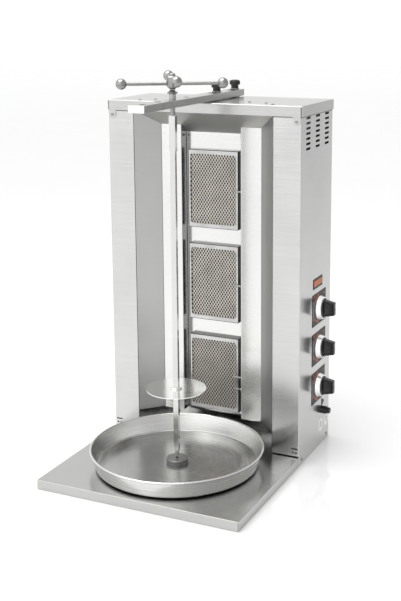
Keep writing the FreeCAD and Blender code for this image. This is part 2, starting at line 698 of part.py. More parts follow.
def make_burner_rails():
    """Two upright tubes beside the burners, from the roof of the low space to the arm's support."""
    rails = []
    for side in (-1, 1):
        x0, x1 = sorted((side * RAIL_X, side * (RAIL_X + RAIL_WIDTH)))
        y0, y1 = RAIL_Y, RAIL_Y + RAIL_DEPTH
        tube = box(x0, x1, y0, y1, RECESS_BOTTOM, SUPPORT_UNDER - SEAM)
        inside = box(x0 + SHEET, x1 - SHEET, y0 + SHEET, y1 - SHEET, RECESS_BOTTOM, SUPPORT_UNDER)
        rails.append(with_holes(tube, [inside] + screw_holes(-Y_AXIS)))
    return Part.makeCompound(rails)


def make_arm_support_plate():
    """The plate under the cover that the arm's clamps screw into, with a welded nut for each."""
    half = RAIL_X + RAIL_WIDTH + SUPPORT_MARGIN
    plate = box(-half, half, RAIL_Y, REAR_Y - 6, SUPPORT_UNDER, SUPPORT_TOP)
    corners = [math.radians(angle) for angle in range(0, 360, 60)]
    hexagon = [(NUT_R * math.cos(corner), NUT_R * math.sin(corner)) for corner in corners]
    nuts = []
    for y in CLAMP_Y:
        nuts.append(prism([(px, py + y) for px, py in hexagon], SUPPORT_UNDER - NUT_HEIGHT, SUPPORT_UNDER))
    bores = [cylinder_z(CLAMP_R + RUNNING, SUPPORT_UNDER - NUT_HEIGHT, SUPPORT_TOP, 0, y) for y in CLAMP_Y]
    return with_holes(joined([plate] + nuts), bores)


def make_control_heat_shield():
    """A sheet between the burners and the taps, with a hole for each burner's pipe."""
    flange_y = REAR_IN - SHEET
    outline = [(SHIELD_X, CAVITY_Y - 35), (SHIELD_X, flange_y), (SHIELD_X + OVERLAP, flange_y)]
    sheet = folded_sheet(outline, RECESS_BOTTOM + SEAM, SHIELD_TOP)
    holes = [cylinder_x(PIPE_R + 2, SHIELD_X - 3, SHIELD_X + 3, VENTURI_Y, z) for z in BURNER_Z]
    return with_holes(sheet, holes)


# ---- Burners -------------------------------------------------------------------------------------
def make_burner_frames():
    """The dished surrounds on the burner panel, with a rim turned in round each opening."""
    frames = []
    for z in BURNER_Z:
        half_x, half_z = FRAME_WIDTH / 2, FRAME_HEIGHT / 2
        outer = box(-half_x, half_x, FRAME_Y, BURNER_PANEL_Y, z - half_z, z + half_z)
        front_edges = [e for e in outer.Edges if sum(v.Point.y < FRAME_Y + 0.1 for v in e.Vertexes) >= 1]
        outer = outer.makeFillet(BEND + SHEET, front_edges)
        in_x, in_z = half_x - SHEET, half_z - SHEET
        inside = box(-in_x, in_x, FRAME_Y + SHEET, BURNER_PANEL_Y, z - in_z, z + in_z)
        rim_width = OPENING_WIDTH + 2 * SHEET
        rim_height = OPENING_HEIGHT + 2 * SHEET
        rim_corner = OPENING_CORNER + SHEET
        rim_front, rim_rear = FRAME_Y + SHEET / 2, FRAME_Y + OPENING_RIM
        rim = rounded_plate(rim_width, rim_height, rim_corner, rim_front, rim_rear, z)
        opening = rounded_plate(OPENING_WIDTH, OPENING_HEIGHT, OPENING_CORNER, FRAME_Y - 1, GAUZE_Y, z)
        frames.append(joined([outer.cut(inside), rim]).cut(opening))
    return Part.makeCompound(frames)


def make_burner_gauzes():
    half_x = FRAME_WIDTH / 2 - SHEET - LOOSE
    half_z = FRAME_HEIGHT / 2 - SHEET - LOOSE
    rear = GAUZE_Y + GAUZE_THICK
    return Part.makeCompound([box(-half_x, half_x, GAUZE_Y, rear, z - half_z, z + half_z) for z in BURNER_Z])


def make_ceramic_plaques():
    """Two plaques stacked in each burner's mouth."""
    half_x = BODY_X - BODY_WALL - LOOSE
    reach = BODY_HALF_HEIGHT - BODY_WALL - LOOSE
    plaques = []
    for z in BURNER_Z:
        plaques.append(box(-half_x, half_x, BODY_Y, PLAQUE_REAR, z + LOOSE / 2, z + reach))
        plaques.append(box(-half_x, half_x, BODY_Y, PLAQUE_REAR, z - reach, z - LOOSE / 2))
    return Part.makeCompound(plaques)


def make_burner_body(z):
    """A pressed box that seats the plaques, with side ears and a venturi on the control side."""
    h = BODY_HALF_HEIGHT
    wall = BODY_WALL
    shell = box(-BODY_X, BODY_X, BODY_Y, BODY_REAR, z - h, z + h)
    in_x, in_z = BODY_X - wall, h - wall
    shell = shell.cut(box(-in_x, in_x, BODY_Y, BODY_REAR - wall, z - in_z, z + in_z))
    ledge_y = PLAQUE_REAR + SEAM
    ledge = box(-BODY_X, BODY_X, ledge_y, ledge_y + 3, z - h, z + h)
    ledge = ledge.cut(box(6 - BODY_X, BODY_X - 6, ledge_y, ledge_y + 3, z - h + 6, z + h - 6))
    ear_y = RAIL_Y + RAIL_DEPTH + SEAM
    ears = []
    for side in (-1, 1):
        x0, x1 = sorted((side * (BODY_X - wall / 2), side * (RAIL_X + RAIL_WIDTH - 4)))
        ears.append(box(x0, x1, ear_y, ear_y + wall, z + 40, z + 64))
        ears.append(box(x0, x1, ear_y, ear_y + wall, z - 64, z - 40))
    venturi = cylinder_x(VENTURI_R, BODY_X - wall, VENTURI_REACH, VENTURI_Y, z)
    body = joined([shell, ledge, venturi] + ears)
    return body.cut(cylinder_x(VENTURI_R - wall, BODY_X - wall, VENTURI_REACH, VENTURI_Y, z))


def make_burner_bodies():
    return Part.makeCompound([make_burner_body(z) for z in BURNER_Z])


# ---- Gas line ------------------------------------------------------------------------------------
def make_injectors():
    """Brass jets that spray into the venturis, each on the end of its burner's pipe."""
    tip = VENTURI_REACH + 4
    jets = []
    for z in BURNER_Z:
        outline = [
            (tip, 0.8), (tip, 3), (tip + 3, 5), (tip + 8, 5), (tip + 8, 7), (tip + 16, 7),
            (tip + 16, PIPE_R), (tip + 9, PIPE_R), (tip + 9, 2), (tip + 2, 2), (tip + 2, 0.8),
        ]
        jets.append(turned_x(outline, VENTURI_Y, z))
    return Part.makeCompound(jets)


def make_burner_pipes():
    """A bent pipe from each tap's outlet to its burner's injector."""
    jet_seat = VENTURI_REACH + 4 + 9
    tap_seat = TAP_IN - 12 + 6
    pipes = []
    for tap_z, burner_z in zip(TAP_Z, BURNER_Z):
        route = [
            (jet_seat, VENTURI_Y, burner_z), (PIPE_X, VENTURI_Y, burner_z),
            (PIPE_X, TAP_Y, tap_z), (tap_seat, TAP_Y, tap_z),
        ]
        pipes.append(bent_tube(route, PIPE_R - SEAM, PIPE_BEND))
    return Part.makeCompound(pipes)


def make_gas_manifold():
    """The upright feed pipe with a branch to each tap and a threaded inlet through the rear panel."""
    top = TAP_Z[-1] + 22
    bend = 20.0
    route = [
        (MANIFOLD_X, MANIFOLD_Y, top), (MANIFOLD_X, MANIFOLD_Y, MANIFOLD_FOOT),
        (MANIFOLD_X, REAR_Y + INLET_PROUD - 4, MANIFOLD_FOOT),
    ]
    pipe = bent_tube(route, MANIFOLD_R, bend)
    end = REAR_Y + INLET_PROUD
    inlet = cylinder_y(INLET_R, end - INLET_LENGTH, end, MANIFOLD_X, MANIFOLD_FOOT)
    nut_y = end - INLET_LENGTH - 4
    hexagon = [(INLET_R * 1.3 * math.cos(math.radians(a)), INLET_R * 1.3 * math.sin(math.radians(a)))
               for a in range(0, 360, 60)]
    corners = [Vector(MANIFOLD_X + px, nut_y, MANIFOLD_FOOT + pz) for px, pz in hexagon]
    nut = closed_face(corners).extrude(Vector(0, 4, 0))
    bore = bent_tube([route[0][:2] + (top - 3,), route[1], (MANIFOLD_X, end + 1, MANIFOLD_FOOT)],
                     MANIFOLD_R - 2, bend)
    line = joined([pipe, inlet, nut]).cut(bore)
    ways = [cylinder_y(3.0, MANIFOLD_Y, MANIFOLD_Y + MANIFOLD_R + 1, MANIFOLD_X, z) for z in TAP_Z]
    return with_holes(line, ways)


def make_tap_body(z):
    """A valve body behind the panel: plug bore, spring chamber, branch inlet and pipe outlet."""
    nose = PANEL_IN - TAP_NOSE
    outlet = TAP_IN - 12
    outline = [
        (outlet, 3), (outlet, 7), (TAP_IN, 7), (TAP_IN, TAP_BODY_R), (nose, TAP_BODY_R), (nose, TAP_NOSE_R),
        (PANEL_IN - SEAM, TAP_NOSE_R), (PANEL_IN - SEAM, SPINDLE_R + RUNNING),
        (PANEL_IN - 7, SPINDLE_R + RUNNING), (PANEL_IN - 7, PLUG_R + RUNNING),
        (PLUG_X - MOVING_GAP, PLUG_R + RUNNING), (PLUG_X - MOVING_GAP, 3),
    ]
    body = turned_x(outline, TAP_Y, z)
    wall = MANIFOLD_Y + MANIFOLD_R * 0.97
    branch = cylinder_y(6, MANIFOLD_Y, TAP_Y - TAP_BODY_R + 2, MANIFOLD_X, z)
    branch = branch.cut(cylinder_z(MANIFOLD_R, z - 10, z + 10, MANIFOLD_X, MANIFOLD_Y))
    body = joined([body, branch])
    pipe_seat = cylinder_x(PIPE_R, outlet, TAP_IN - 6, TAP_Y, z)
    return with_holes(body, [cylinder_y(3, wall, TAP_Y, MANIFOLD_X, z), pipe_seat])


def make_tap_bodies():
    return Part.makeCompound([make_tap_body(z) for z in TAP_Z])


def lead_routes():
    """Each thermocouple's lead, from its probe behind the recess side to the front of its tap."""
    routes = []
    for i, (tap_z, burner_z) in enumerate(zip(TAP_Z, BURNER_Z)):
        riser_x = SHIELD_X + 25 + 7 * i
        end_x = TAP_IN + 6
        routes.append([
            (RECESS_X + 24, PROBE_Y, burner_z), (riser_x, PROBE_Y, burner_z), (riser_x, PROBE_Y, tap_z),
            (end_x, PROBE_Y, tap_z), (end_x, TAP_Y - TAP_BODY_R, tap_z),
        ])
    return routes


def make_thermocouples():
    probes = []
    for route, z in zip(lead_routes(), BURNER_Z):
        sheath = cylinder_x(PROBE_R, PROBE_REACH, RECESS_X + 8, PROBE_Y, z)
        holder = cylinder_x(4, RECESS_X + 4, RECESS_X + 25, PROBE_Y, z)
        probes.append(joined([sheath, holder, bent_tube(route, LEAD_R, LEAD_BEND)]))
    return Part.makeCompound(probes)


def make_spark_electrode():
    """A ceramic-bodied electrode at the lowest burner, with its lead to the igniter."""
    z = ELECTRODE_Z
    wire = cylinder_x(1.2, PROBE_REACH + 2, RECESS_X + 24, PROBE_Y, z)
    ceramic = cylinder_x(CERAMIC_R, RECESS_X - 4, RECESS_X + 20, PROBE_Y, z)
    turn_x = SHIELD_X + 18
    lead = bent_tube([
        (RECESS_X + 22, PROBE_Y, z), (turn_x, PROBE_Y, z), (turn_x, PROBE_Y, IGNITER_HEIGHT),
        (turn_x, IGNITER_Y, IGNITER_HEIGHT), (IGNITER_IN, IGNITER_Y, IGNITER_HEIGHT)], 1.4, 9.0)
    return joined([wire, ceramic, lead])


# ---- Taps, knobs and igniter ---------------------------------------------------------------------
def make_tap_plug(z):
    """The turning plug: a gas way through it, and a square pocket that the spindle slides in."""
    plug = cylinder_x(PLUG_R, PLUG_X, PLUG_END, TAP_Y, z)
    half = TANG / 2 + RUNNING
    pocket = box(PLUG_X + 5, PLUG_END, TAP_Y - half, TAP_Y + half, z - half, z + half)
    across = cylinder_y(2.5, TAP_Y - PLUG_R, TAP_Y, MANIFOLD_X, z)
    along = cylinder_x(2.5, PLUG_X, PLUG_X + 6, TAP_Y, z)
    return with_holes(plug, [pocket, across, along])


def make_tap_spindle(z):
    """The spindle: square tang in the plug, collar that stops it, round shaft with a flat."""
    half = TANG / 2
    tang = box(PLUG_X + 5 + TAP_PUSH + 1, COLLAR_X, TAP_Y - half, TAP_Y + half, z - half, z + half)
    collar = cylinder_x(COLLAR_R, COLLAR_X, COLLAR_X + COLLAR_THICK, TAP_Y, z)
    end = HALF_WIDTH + KNOB_PROUD - 9
    shaft = cylinder_x(SPINDLE_R, COLLAR_X, end, TAP_Y, z)
    flat = box(HALF_WIDTH + KNOB_GAP, end, TAP_Y - SPINDLE_R, TAP_Y + SPINDLE_R, z + 2.5, z + SPINDLE_R)
    return joined([tang, collar, shaft]).cut(flat)


def make_tap_spring(z):
    """The return spring between the plug and the spindle's collar."""
    start = PLUG_END + SEAM + SPRING_WIRE_R
    height = COLLAR_X - SEAM - SPRING_WIRE_R - start
    path = Part.makeHelix(height / SPRING_TURNS, height, SPRING_COIL_R)
    section = Part.Wire([Part.makeCircle(SPRING_WIRE_R, Vector(SPRING_COIL_R, 0, 0), Y_AXIS)])
    spring = Part.Wire(path).makePipeShell([section], True, True)
    spring.Placement = FreeCAD.Placement(Vector(start, TAP_Y, z), FreeCAD.Rotation(Z_AXIS, X_AXIS))
    return spring


def make_control_knob(z):
    """A round base with a bar grip across it, bored for the spindle."""
    back = HALF_WIDTH + KNOB_GAP
    front = HALF_WIDTH + KNOB_PROUD
    shoulder = back + KNOB_BASE
    base = turned_x([
        (back, 0), (back, KNOB_R), (shoulder - 3, KNOB_R), (shoulder, KNOB_R - 2), (shoulder, 0)], TAP_Y, z)
    cone = turned_x([
        (back, 0), (back, KNOB_R - 1), (front - 2, KNOB_R - 5), (front, KNOB_R - 7), (front, 0)], TAP_Y, z)
    half_root = KNOB_BAR / 2 + 2
    half_crest = KNOB_BAR / 2 - 1.5
    wedge = prism([
        (back, TAP_Y - half_root), (front, TAP_Y - half_crest), (front, TAP_Y + half_crest),
        (back, TAP_Y + half_root)], z - KNOB_R, z + KNOB_R)
    bore = cylinder_x(SPINDLE_R, back, front - 9, TAP_Y, z)
    key = box(back, front - 9, TAP_Y - SPINDLE_R, TAP_Y + SPINDLE_R, z + 2.5, z + SPINDLE_R)
    return joined([base, cone.common(wedge)]).cut(bore.cut(key))


def make_knob_bezels():
    """Tapered rings round the knobs, on the control plates."""
    top = PLATE_OUT + BEZEL_HEIGHT
    outline = [
        (PLATE_OUT, BEZEL_BORE_R), (PLATE_OUT, BEZEL_R), (PLATE_OUT + 2, BEZEL_R),
        (top - 1.5, BEZEL_TOP_R + 0.6), (top, BEZEL_TOP_R - 0.6), (top, BEZEL_BORE_R),
    ]
    return Part.makeCompound([turned_x(outline, TAP_Y, z) for z in TAP_Z])


def make_control_plates():
    plates = []
    for z in TAP_Z:
        plate = box(HALF_WIDTH, PLATE_OUT, TAP_Y - PLATE_DEPTH / 2, TAP_Y + PLATE_DEPTH / 2,
                    z - PLATE_HEIGHT / 2, z + PLATE_HEIGHT / 2)
        plates.append(plate.cut(cylinder_x(SPINDLE_R + LOOSE, HALF_WIDTH, PLATE_OUT, TAP_Y, z)))
    return Part.makeCompound(plates)


def make_igniter_body():
    """The piezo igniter's barrel through the panel, with a collar outside and a nut inside."""
    thread = IGNITER_R - 1.5
    nut_r = IGNITER_R + 2
    nut_in, nut_out = PANEL_IN - SEAM - 5, PANEL_IN - SEAM
    outline = [
        (IGNITER_IN, 0), (IGNITER_IN, thread), (nut_in, thread), (nut_in, nut_r), (nut_out, nut_r),
        (nut_out, thread), (HALF_WIDTH, thread), (HALF_WIDTH, IGNITER_R),
        (IGNITER_OUT - 1, IGNITER_R), (IGNITER_OUT, IGNITER_R - 1), (IGNITER_OUT, BUTTON_R + RUNNING),
        (BUTTON_IN - IGNITER_PUSH - 1, BUTTON_R + RUNNING), (BUTTON_IN - IGNITER_PUSH - 1, 0),
    ]
    return turned_x(outline, IGNITER_Y, IGNITER_HEIGHT)


def make_igniter_button():
    outline = [
        (BUTTON_IN, 0), (BUTTON_IN, BUTTON_R), (BUTTON_OUT - 1.5, BUTTON_R), (BUTTON_OUT, BUTTON_R - 1.5),
        (BUTTON_OUT, 0),
    ]
    return turned_x(outline, IGNITER_Y, IGNITER_HEIGHT)


# ---- Arm and its clamps --------------------------------------------------------------------------
def make_arm_channel():
    """A closed box-section arm: holes for the spit's bush, and slots that let it slide on its clamps."""
    half = ARM_WIDTH / 2
    arm = box(-half, half, -ARM_FRONT, ARM_REAR, ARM_BOTTOM, ARM_TOP)
    long_edges = [e for e in arm.Edges if e.Length > ARM_FRONT]
    arm = arm.makeFillet(ARM_WALL, long_edges)
    arm = arm.cut(box(ARM_WALL - half, half - ARM_WALL, ARM_WALL - ARM_FRONT, ARM_REAR - ARM_WALL,
                      ARM_BOTTOM + ARM_WALL, ARM_TOP - ARM_WALL))
    cutters = [cylinder_z(ARM_HOLE_R, ARM_BOTTOM, ARM_TOP, 0, i * ARM_HOLE_PITCH) for i in (-2, -1, 0, 1)]
    width = 2 * (CLAMP_R + LOOSE)
    for y in CLAMP_Y:
        cutters.append(slot_z(ARM_TRAVEL, width, ARM_BOTTOM, ARM_TOP, 0, y - ARM_TRAVEL))
    return with_holes(arm, cutters)


def make_spit_bush():
    bore = CRANK_SHAFT_R + RUNNING
    outline = [
        (bore, ARM_BOTTOM), (ARM_HOLE_R, ARM_BOTTOM), (ARM_HOLE_R, ARM_TOP), (BUSH_NECK_R, ARM_TOP),
        (BUSH_NECK_R, BUSH_TOP), (bore, BUSH_TOP),
    ]
    return turned(outline)


def make_arm_spacers():
    """Rings on the cover round the clamps, which the arm slides on."""
    rings = []
    for y in CLAMP_Y:
        ring = cylinder_z(SPACER_R, CASING_TOP, ARM_BOTTOM - MOVING_GAP, 0, y)
        rings.append(ring.cut(cylinder_z(CLAMP_R + LOOSE, CASING_TOP, ARM_BOTTOM, 0, y)))
    return Part.makeCompound(rings)


def make_clamp_washer(y):
    bottom, top = WASHER_BOTTOM, WASHER_BOTTOM + CLAMP_WASHER
    return cylinder_z(CLAMP_WASHER_R, bottom, top, 0, y).cut(cylinder_z(CLAMP_R + LOOSE, bottom, top, 0, y))


def make_clamp_stud(y):
    return cylinder_z(CLAMP_R, SUPPORT_UNDER - NUT_HEIGHT - 6, CLAMP_TOP - 6, 0, y)


def make_clamp_knob(y):
    """A lobed grip on a round stem, moulded round the stud's upper end."""
    head_bottom = CLAMP_TOP - CLAMP_HEAD
    stem = cylinder_z(CLAMP_STEM_R, STEM_BOTTOM, head_bottom, 0, y)
    head = turned([
        (0, head_bottom), (CLAMP_HEAD_R, head_bottom), (CLAMP_HEAD_R, CLAMP_TOP - 3),
        (CLAMP_HEAD_R - 4, CLAMP_TOP), (0, CLAMP_TOP)], 0, y)
    lobes = []
    for i in range(CLAMP_LOBES):
        angle = 2 * math.pi * i / CLAMP_LOBES
        x = (CLAMP_HEAD_R - 1.4) * math.cos(angle)
        across = (CLAMP_HEAD_R - 1.4) * math.sin(angle)
        lobes.append(cylinder_z(CLAMP_LOBE_R, head_bottom, CLAMP_TOP - 2, x, y + across))
    knob = joined([stem, head] + lobes)
    return knob.cut(cylinder_z(CLAMP_R, STEM_BOTTOM, CLAMP_TOP - 6, 0, y))


# ---- Spit and crank ------------------------------------------------------------------------------
def pin_cylinder(radius, length, z):
    """A cylinder through the bar's faces, centred on it."""
    solid = cylinder_x(radius, -length / 2, length / 2, 0, z)
    solid.rotate(Vector(0, 0, 0), Z_AXIS, SPIT_TURN)
    return solid


def square_wire(size, z):
    half = size / 2
    corners = [Vector(x * half, y * half, z) for x, y in ((-1, -1), (1, -1), (1, 1), (-1, 1))]
    wire = Part.makePolygon(corners + [corners[0]])
    wire.rotate(Vector(0, 0, 0), Z_AXIS, SPIT_TURN)
    return wire


def make_spit_bar():
    """A square bar with a four-sided point and cross holes for the disc's pin."""
    point_end = PAN_HUB_TOP - POINT_SEAT + 1
    ends = [square_wire(POINT_END, point_end), square_wire(SPIT_SIZE, POINT_TOP)]
    point = Part.makeLoft(ends, True, True)
    bar = joined([square_bar(SPIT_SIZE, POINT_TOP, SPIT_TOP), point])
    return with_holes(bar, [pin_cylinder(HOLE_R, 2 * SPIT_SIZE, z) for z in HOLE_Z])


def make_spit_socket():
    """A square sleeve on the bar's upper end, with a square hole in its top for the crank's tang."""
    sleeve = square_bar(SOCKET_SIZE, SOCKET_BOTTOM, SOCKET_TOP)
    sleeve = sleeve.cut(square_bar(SPIT_SIZE, SOCKET_BOTTOM, SPIT_TOP))
    return sleeve.cut(square_bar(TANG_SIZE + 2 * RUNNING, SPIT_TOP, SOCKET_TOP))


def make_disc_pin():
    """A headed pin through the bar, its head cut flat under the disc."""
    pin = pin_cylinder(HOLE_R, PIN_LENGTH, PIN_Z)
    head = cylinder_x(HOLE_R + 1.5, PIN_LENGTH / 2 - 3, PIN_LENGTH / 2, 0, PIN_Z)
    head.rotate(Vector(0, 0, 0), Z_AXIS, SPIT_TURN)
    under_disc = box(-PIN_LENGTH, PIN_LENGTH, -PIN_LENGTH, PIN_LENGTH, 0, PIN_Z + HOLE_R)
    return joined([pin, head]).common(under_disc)


def make_meat_disc():
    """The round plate that carries the meat, with a low collar, free to slide up the bar."""
    top = DISC_UNDER + DISC_THICK
    outline = [(0, DISC_UNDER), (DISC_R, DISC_UNDER), (DISC_R, top), (13, top), (13, top + 4), (0, top + 4)]
    return turned(outline).cut(square_bar(SPIT_SIZE + 2 * MOVING_GAP, DISC_UNDER, top + 4))


def rod_cylinder(radius, reach, z, turn):
    rod = cylinder_x(radius, -reach, reach, 0, z)
    rod.rotate(Vector(0, 0, 0), Z_AXIS, turn)
    return rod


def make_crank_rod_pair(radius, reach):
    lower = rod_cylinder(radius, reach, LOWER_ROD, CRANK_TURN)
    upper = rod_cylinder(radius, reach, UPPER_ROD, CRANK_TURN + 90)
    return Part.makeCompound([lower, upper])


def make_crank_spindle():
    """The crank's hub, collar and shaft in one turned piece, with a square tang below."""
    collar = BUSH_TOP + MOVING_GAP
    outline = [
        (0, SHAFT_END), (CRANK_SHAFT_R, SHAFT_END), (CRANK_SHAFT_R, collar), (CRANK_COLLAR_R - 3, collar),
        (CRANK_COLLAR_R, collar + 2), (CRANK_COLLAR_R, collar + 3.5), (CRANK_COLLAR_R - 4, COLLAR_TOP),
        (CRANK_SHAFT_R, COLLAR_TOP + 2), (CRANK_SHAFT_R + 1, COLLAR_TOP + 5),
        (CRANK_HUB_R - 3, COLLAR_TOP + 8), (CRANK_HUB_R, COLLAR_TOP + 12), (CRANK_HUB_R, UPPER_ROD + 3), (CRANK_HUB_R - 2.5, UPPER_ROD + 6),
        (7, UPPER_ROD + 6.5), (7, CRANK_TOP - 1.5), (5.5, CRANK_TOP), (0, CRANK_TOP),
    ]
    tang = square_bar(TANG_SIZE, SOCKET_TOP - TANG_LENGTH, SHAFT_END)
    return joined([turned(outline), tang]).cut(make_crank_rod_pair(ROD_R, ROD_REACH))


def make_crank_rods():
    return make_crank_rod_pair(ROD_R, ROD_REACH + 2)


def make_crank_balls():
    balls = []
    for z, turn in ((LOWER_ROD, CRANK_TURN), (UPPER_ROD, CRANK_TURN + 90)):
        for side in (-1, 1):
            ball = Part.makeSphere(BALL_R, Vector(side * ROD_REACH, 0, z))
            ball.rotate(Vector(0, 0, 0), Z_AXIS, turn)
            balls.append(ball.cut(rod_cylinder(ROD_R, ROD_REACH + 2, z, turn)))
    return Part.makeCompound(balls)


# ---- Pan -----------------------------------------------------------------------------------------
def make_pan():
    """A round pan with sloped sides, a rolled rim and a raised base on a ring foot."""
    wall_top = PAN_TOP - PAN_BEAD_R
    rim_inner = PAN_RIM_R - 2 * PAN_BEAD_R
    outline = [
        (0, PAN_FLOOR), (PAN_BASE_R, PAN_FLOOR), (rim_inner + PAN_SHEET, wall_top), (rim_inner, wall_top),
        (PAN_BASE_R - PAN_SHEET, PAN_FLOOR + PAN_SHEET), (0, PAN_FLOOR + PAN_SHEET),
    ]
    shell = turned(outline)
    corner_edges = {}
    for edge in shell.Edges:
        centre = edge.BoundBox.Center
        radius = edge.BoundBox.XLength / 2
        corner_edges[(round(radius, 2), round(centre.z, 2))] = edge
    outer = corner_edges[(round(PAN_BASE_R, 2), round(PAN_FLOOR, 2))]
    shell = shell.makeFillet(PAN_CORNER, [outer])
    inner = [e for e in shell.Edges if abs(e.BoundBox.XLength / 2 - PAN_BASE_R + PAN_SHEET) < 0.01
             and abs(e.BoundBox.Center.z - PAN_FLOOR - PAN_SHEET) < 0.01 and e.BoundBox.ZLength < 0.01]
    shell = shell.makeFillet(PAN_CORNER - PAN_SHEET, inner)
    bead = Part.makeTorus(PAN_RIM_R - PAN_BEAD_R, PAN_BEAD_R, Vector(0, 0, wall_top), Z_AXIS)
    foot = turned([
        (PAN_FOOT_R, TRAY_TOP + MOVING_GAP), (PAN_FOOT_R + PAN_FOOT_WIDTH, TRAY_TOP + MOVING_GAP),
        (PAN_FOOT_R + PAN_FOOT_WIDTH, PAN_FLOOR + 0.5), (PAN_FOOT_R, PAN_FLOOR + 0.5)])
    return joined([shell, bead, foot])


def make_pan_hub():
    """The heavy disc on the pan's floor, with a tapered seat for the spit's point."""
    bottom = PAN_FLOOR + PAN_SHEET
    outline = [
        (0, bottom), (PAN_HUB_R, bottom), (PAN_HUB_R, PAN_HUB_TOP - 1.5), (PAN_HUB_R - 1.5, PAN_HUB_TOP),
        (4.5, PAN_HUB_TOP), (2.2, PAN_HUB_TOP - POINT_SEAT), (0, PAN_HUB_TOP - POINT_SEAT),
    ]
    return turned(outline)


# ---- Every node ----------------------------------------------------------------------------------
def make_nodes():
    nodes = {
        "base_tray": make_base_tray(),
        "tray_stiffener": make_tray_stiffener(),
        "side_panel_left": make_side_panel_left(),
        "side_panel_right": make_side_panel_right(),
        "deflector_left": make_deflector_left(),
        "deflector_right": make_deflector_right(),
        "burner_panel": make_burner_panel(),
        "hood_panel": make_hood_panel(),
        "kick_panel": make_kick_panel(),
        "top_cover": make_top_cover(),
        "rear_panel": make_rear_panel(),
        "burner_rails": make_burner_rails(),
        "arm_support_plate": make_arm_support_plate(),
        "control_heat_shield": make_control_heat_shield(),
        "burner_frames": make_burner_frames(),
        "burner_gauzes": make_burner_gauzes(),
        "ceramic_plaques": make_ceramic_plaques(),
        "burner_bodies": make_burner_bodies(),
        "injectors": make_injectors(),
        "burner_pipes": make_burner_pipes(),
        "gas_manifold": make_gas_manifold(),
        "tap_bodies": make_tap_bodies(),
        "thermocouples": make_thermocouples(),
        "spark_electrode": make_spark_electrode(),
        "knob_bezels": make_knob_bezels(),
        "control_plates": make_control_plates(),
        "igniter_body": make_igniter_body(),
        "igniter_button": make_igniter_button(),
        "arm_channel": make_arm_channel(),
        "spit_bush": make_spit_bush(),
        "arm_spacers": make_arm_spacers(),
        "spit_bar": make_spit_bar(),
        "spit_socket": make_spit_socket(),
        "disc_pin": make_disc_pin(),
        "meat_disc": make_meat_disc(),
        "crank_spindle": make_crank_spindle(),
        "crank_rods": make_crank_rods(),
        "crank_balls": make_crank_balls(),
        "pan": make_pan(),
        "pan_hub": make_pan_hub(),
        "casing_screws": make_casing_screws(),
    }
    for i, z in enumerate(TAP_Z, start=1):
        nodes[f"tap_plug_{i}"] = make_tap_plug(z)
        nodes[f"tap_spindle_{i}"] = make_tap_spindle(z)
        nodes[f"tap_spring_{i}"] = make_tap_spring(z)
        nodes[f"control_knob_{i}"] = make_control_knob(z)
    for name, y in zip(("front", "rear"), CLAMP_Y):
        nodes[f"clamp_washer_{name}"] = make_clamp_washer(y)
        nodes[f"clamp_stud_{name}"] = make_clamp_stud(y)
        nodes[f"clamp_knob_{name}"] = make_clamp_knob(y)
    return nodes


def export(nodes):
    os.makedirs("parts", exist_ok=True)
    for name, shape in nodes.items():
        if not shape.isValid() or shape.Volume <= 0:
            raise ValueError(f"{name} is not a sound solid")
        shape.exportStep(f"parts/{name}.step")


export(make_nodes())
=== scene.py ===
import json
import math

import bmesh
import bpy
from mathutils import Matrix, Vector


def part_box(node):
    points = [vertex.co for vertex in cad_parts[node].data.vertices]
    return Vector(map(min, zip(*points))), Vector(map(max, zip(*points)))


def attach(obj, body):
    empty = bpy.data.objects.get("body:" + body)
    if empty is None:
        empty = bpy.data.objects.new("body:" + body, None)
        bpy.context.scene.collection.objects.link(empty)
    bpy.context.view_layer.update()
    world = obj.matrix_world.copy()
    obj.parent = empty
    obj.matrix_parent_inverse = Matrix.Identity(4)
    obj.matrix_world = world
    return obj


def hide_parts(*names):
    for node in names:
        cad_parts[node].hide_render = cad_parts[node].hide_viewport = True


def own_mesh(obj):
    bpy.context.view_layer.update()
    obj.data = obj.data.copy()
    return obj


# Looks of the vertical rotisserie broiler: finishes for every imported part, and the pieces that the
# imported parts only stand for, such as the burners' expanded mesh and the moulded knobs.
# Metres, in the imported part's own frame: the spit's axis is x = y = 0, and the table is z = 0.

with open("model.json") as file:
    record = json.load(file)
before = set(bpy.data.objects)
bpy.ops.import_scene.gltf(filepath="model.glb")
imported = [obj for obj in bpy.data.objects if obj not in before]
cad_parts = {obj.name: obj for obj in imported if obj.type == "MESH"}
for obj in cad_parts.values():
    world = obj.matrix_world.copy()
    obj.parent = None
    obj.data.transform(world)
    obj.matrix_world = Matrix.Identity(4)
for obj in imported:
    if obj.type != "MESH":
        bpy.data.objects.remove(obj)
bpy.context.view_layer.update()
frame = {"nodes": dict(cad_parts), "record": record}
MM = 0.001
ACROSS_X = Vector((1, 0, 0))
ACROSS_Y = Vector((0, 1, 0))
BURNERS = 3
FRAME_TALL = 0.192  # the height of one burner's frame
SLOTS = {part["node"]: part["material_slot"] for part in frame["record"]["subparts"]}


# ---- Materials -----------------------------------------------------------------------------------
def linear(code):
    """An sRGB hex colour as the opaque linear values that a shader takes."""
    values = [int(code[i:i + 2], 16) / 255 for i in (1, 3, 5)]
    return tuple(v / 12.92 if v <= 0.04045 else ((v + 0.055) / 1.055) ** 2.4 for v in values) + (1.0,)


def add(tree, kind, settings=None, links=None):
    """One shader node with its settings and its links. A setting names a property or a socket."""
    made = tree.nodes.new(kind)
    for name, value in (settings or {}).items():
        if isinstance(name, int) or name in made.inputs:
            made.inputs[name].default_value = value
        else:
            setattr(made, name, value)
    for name, source in (links or {}).items():
        tree.links.new(source, made.inputs[name])
    return made


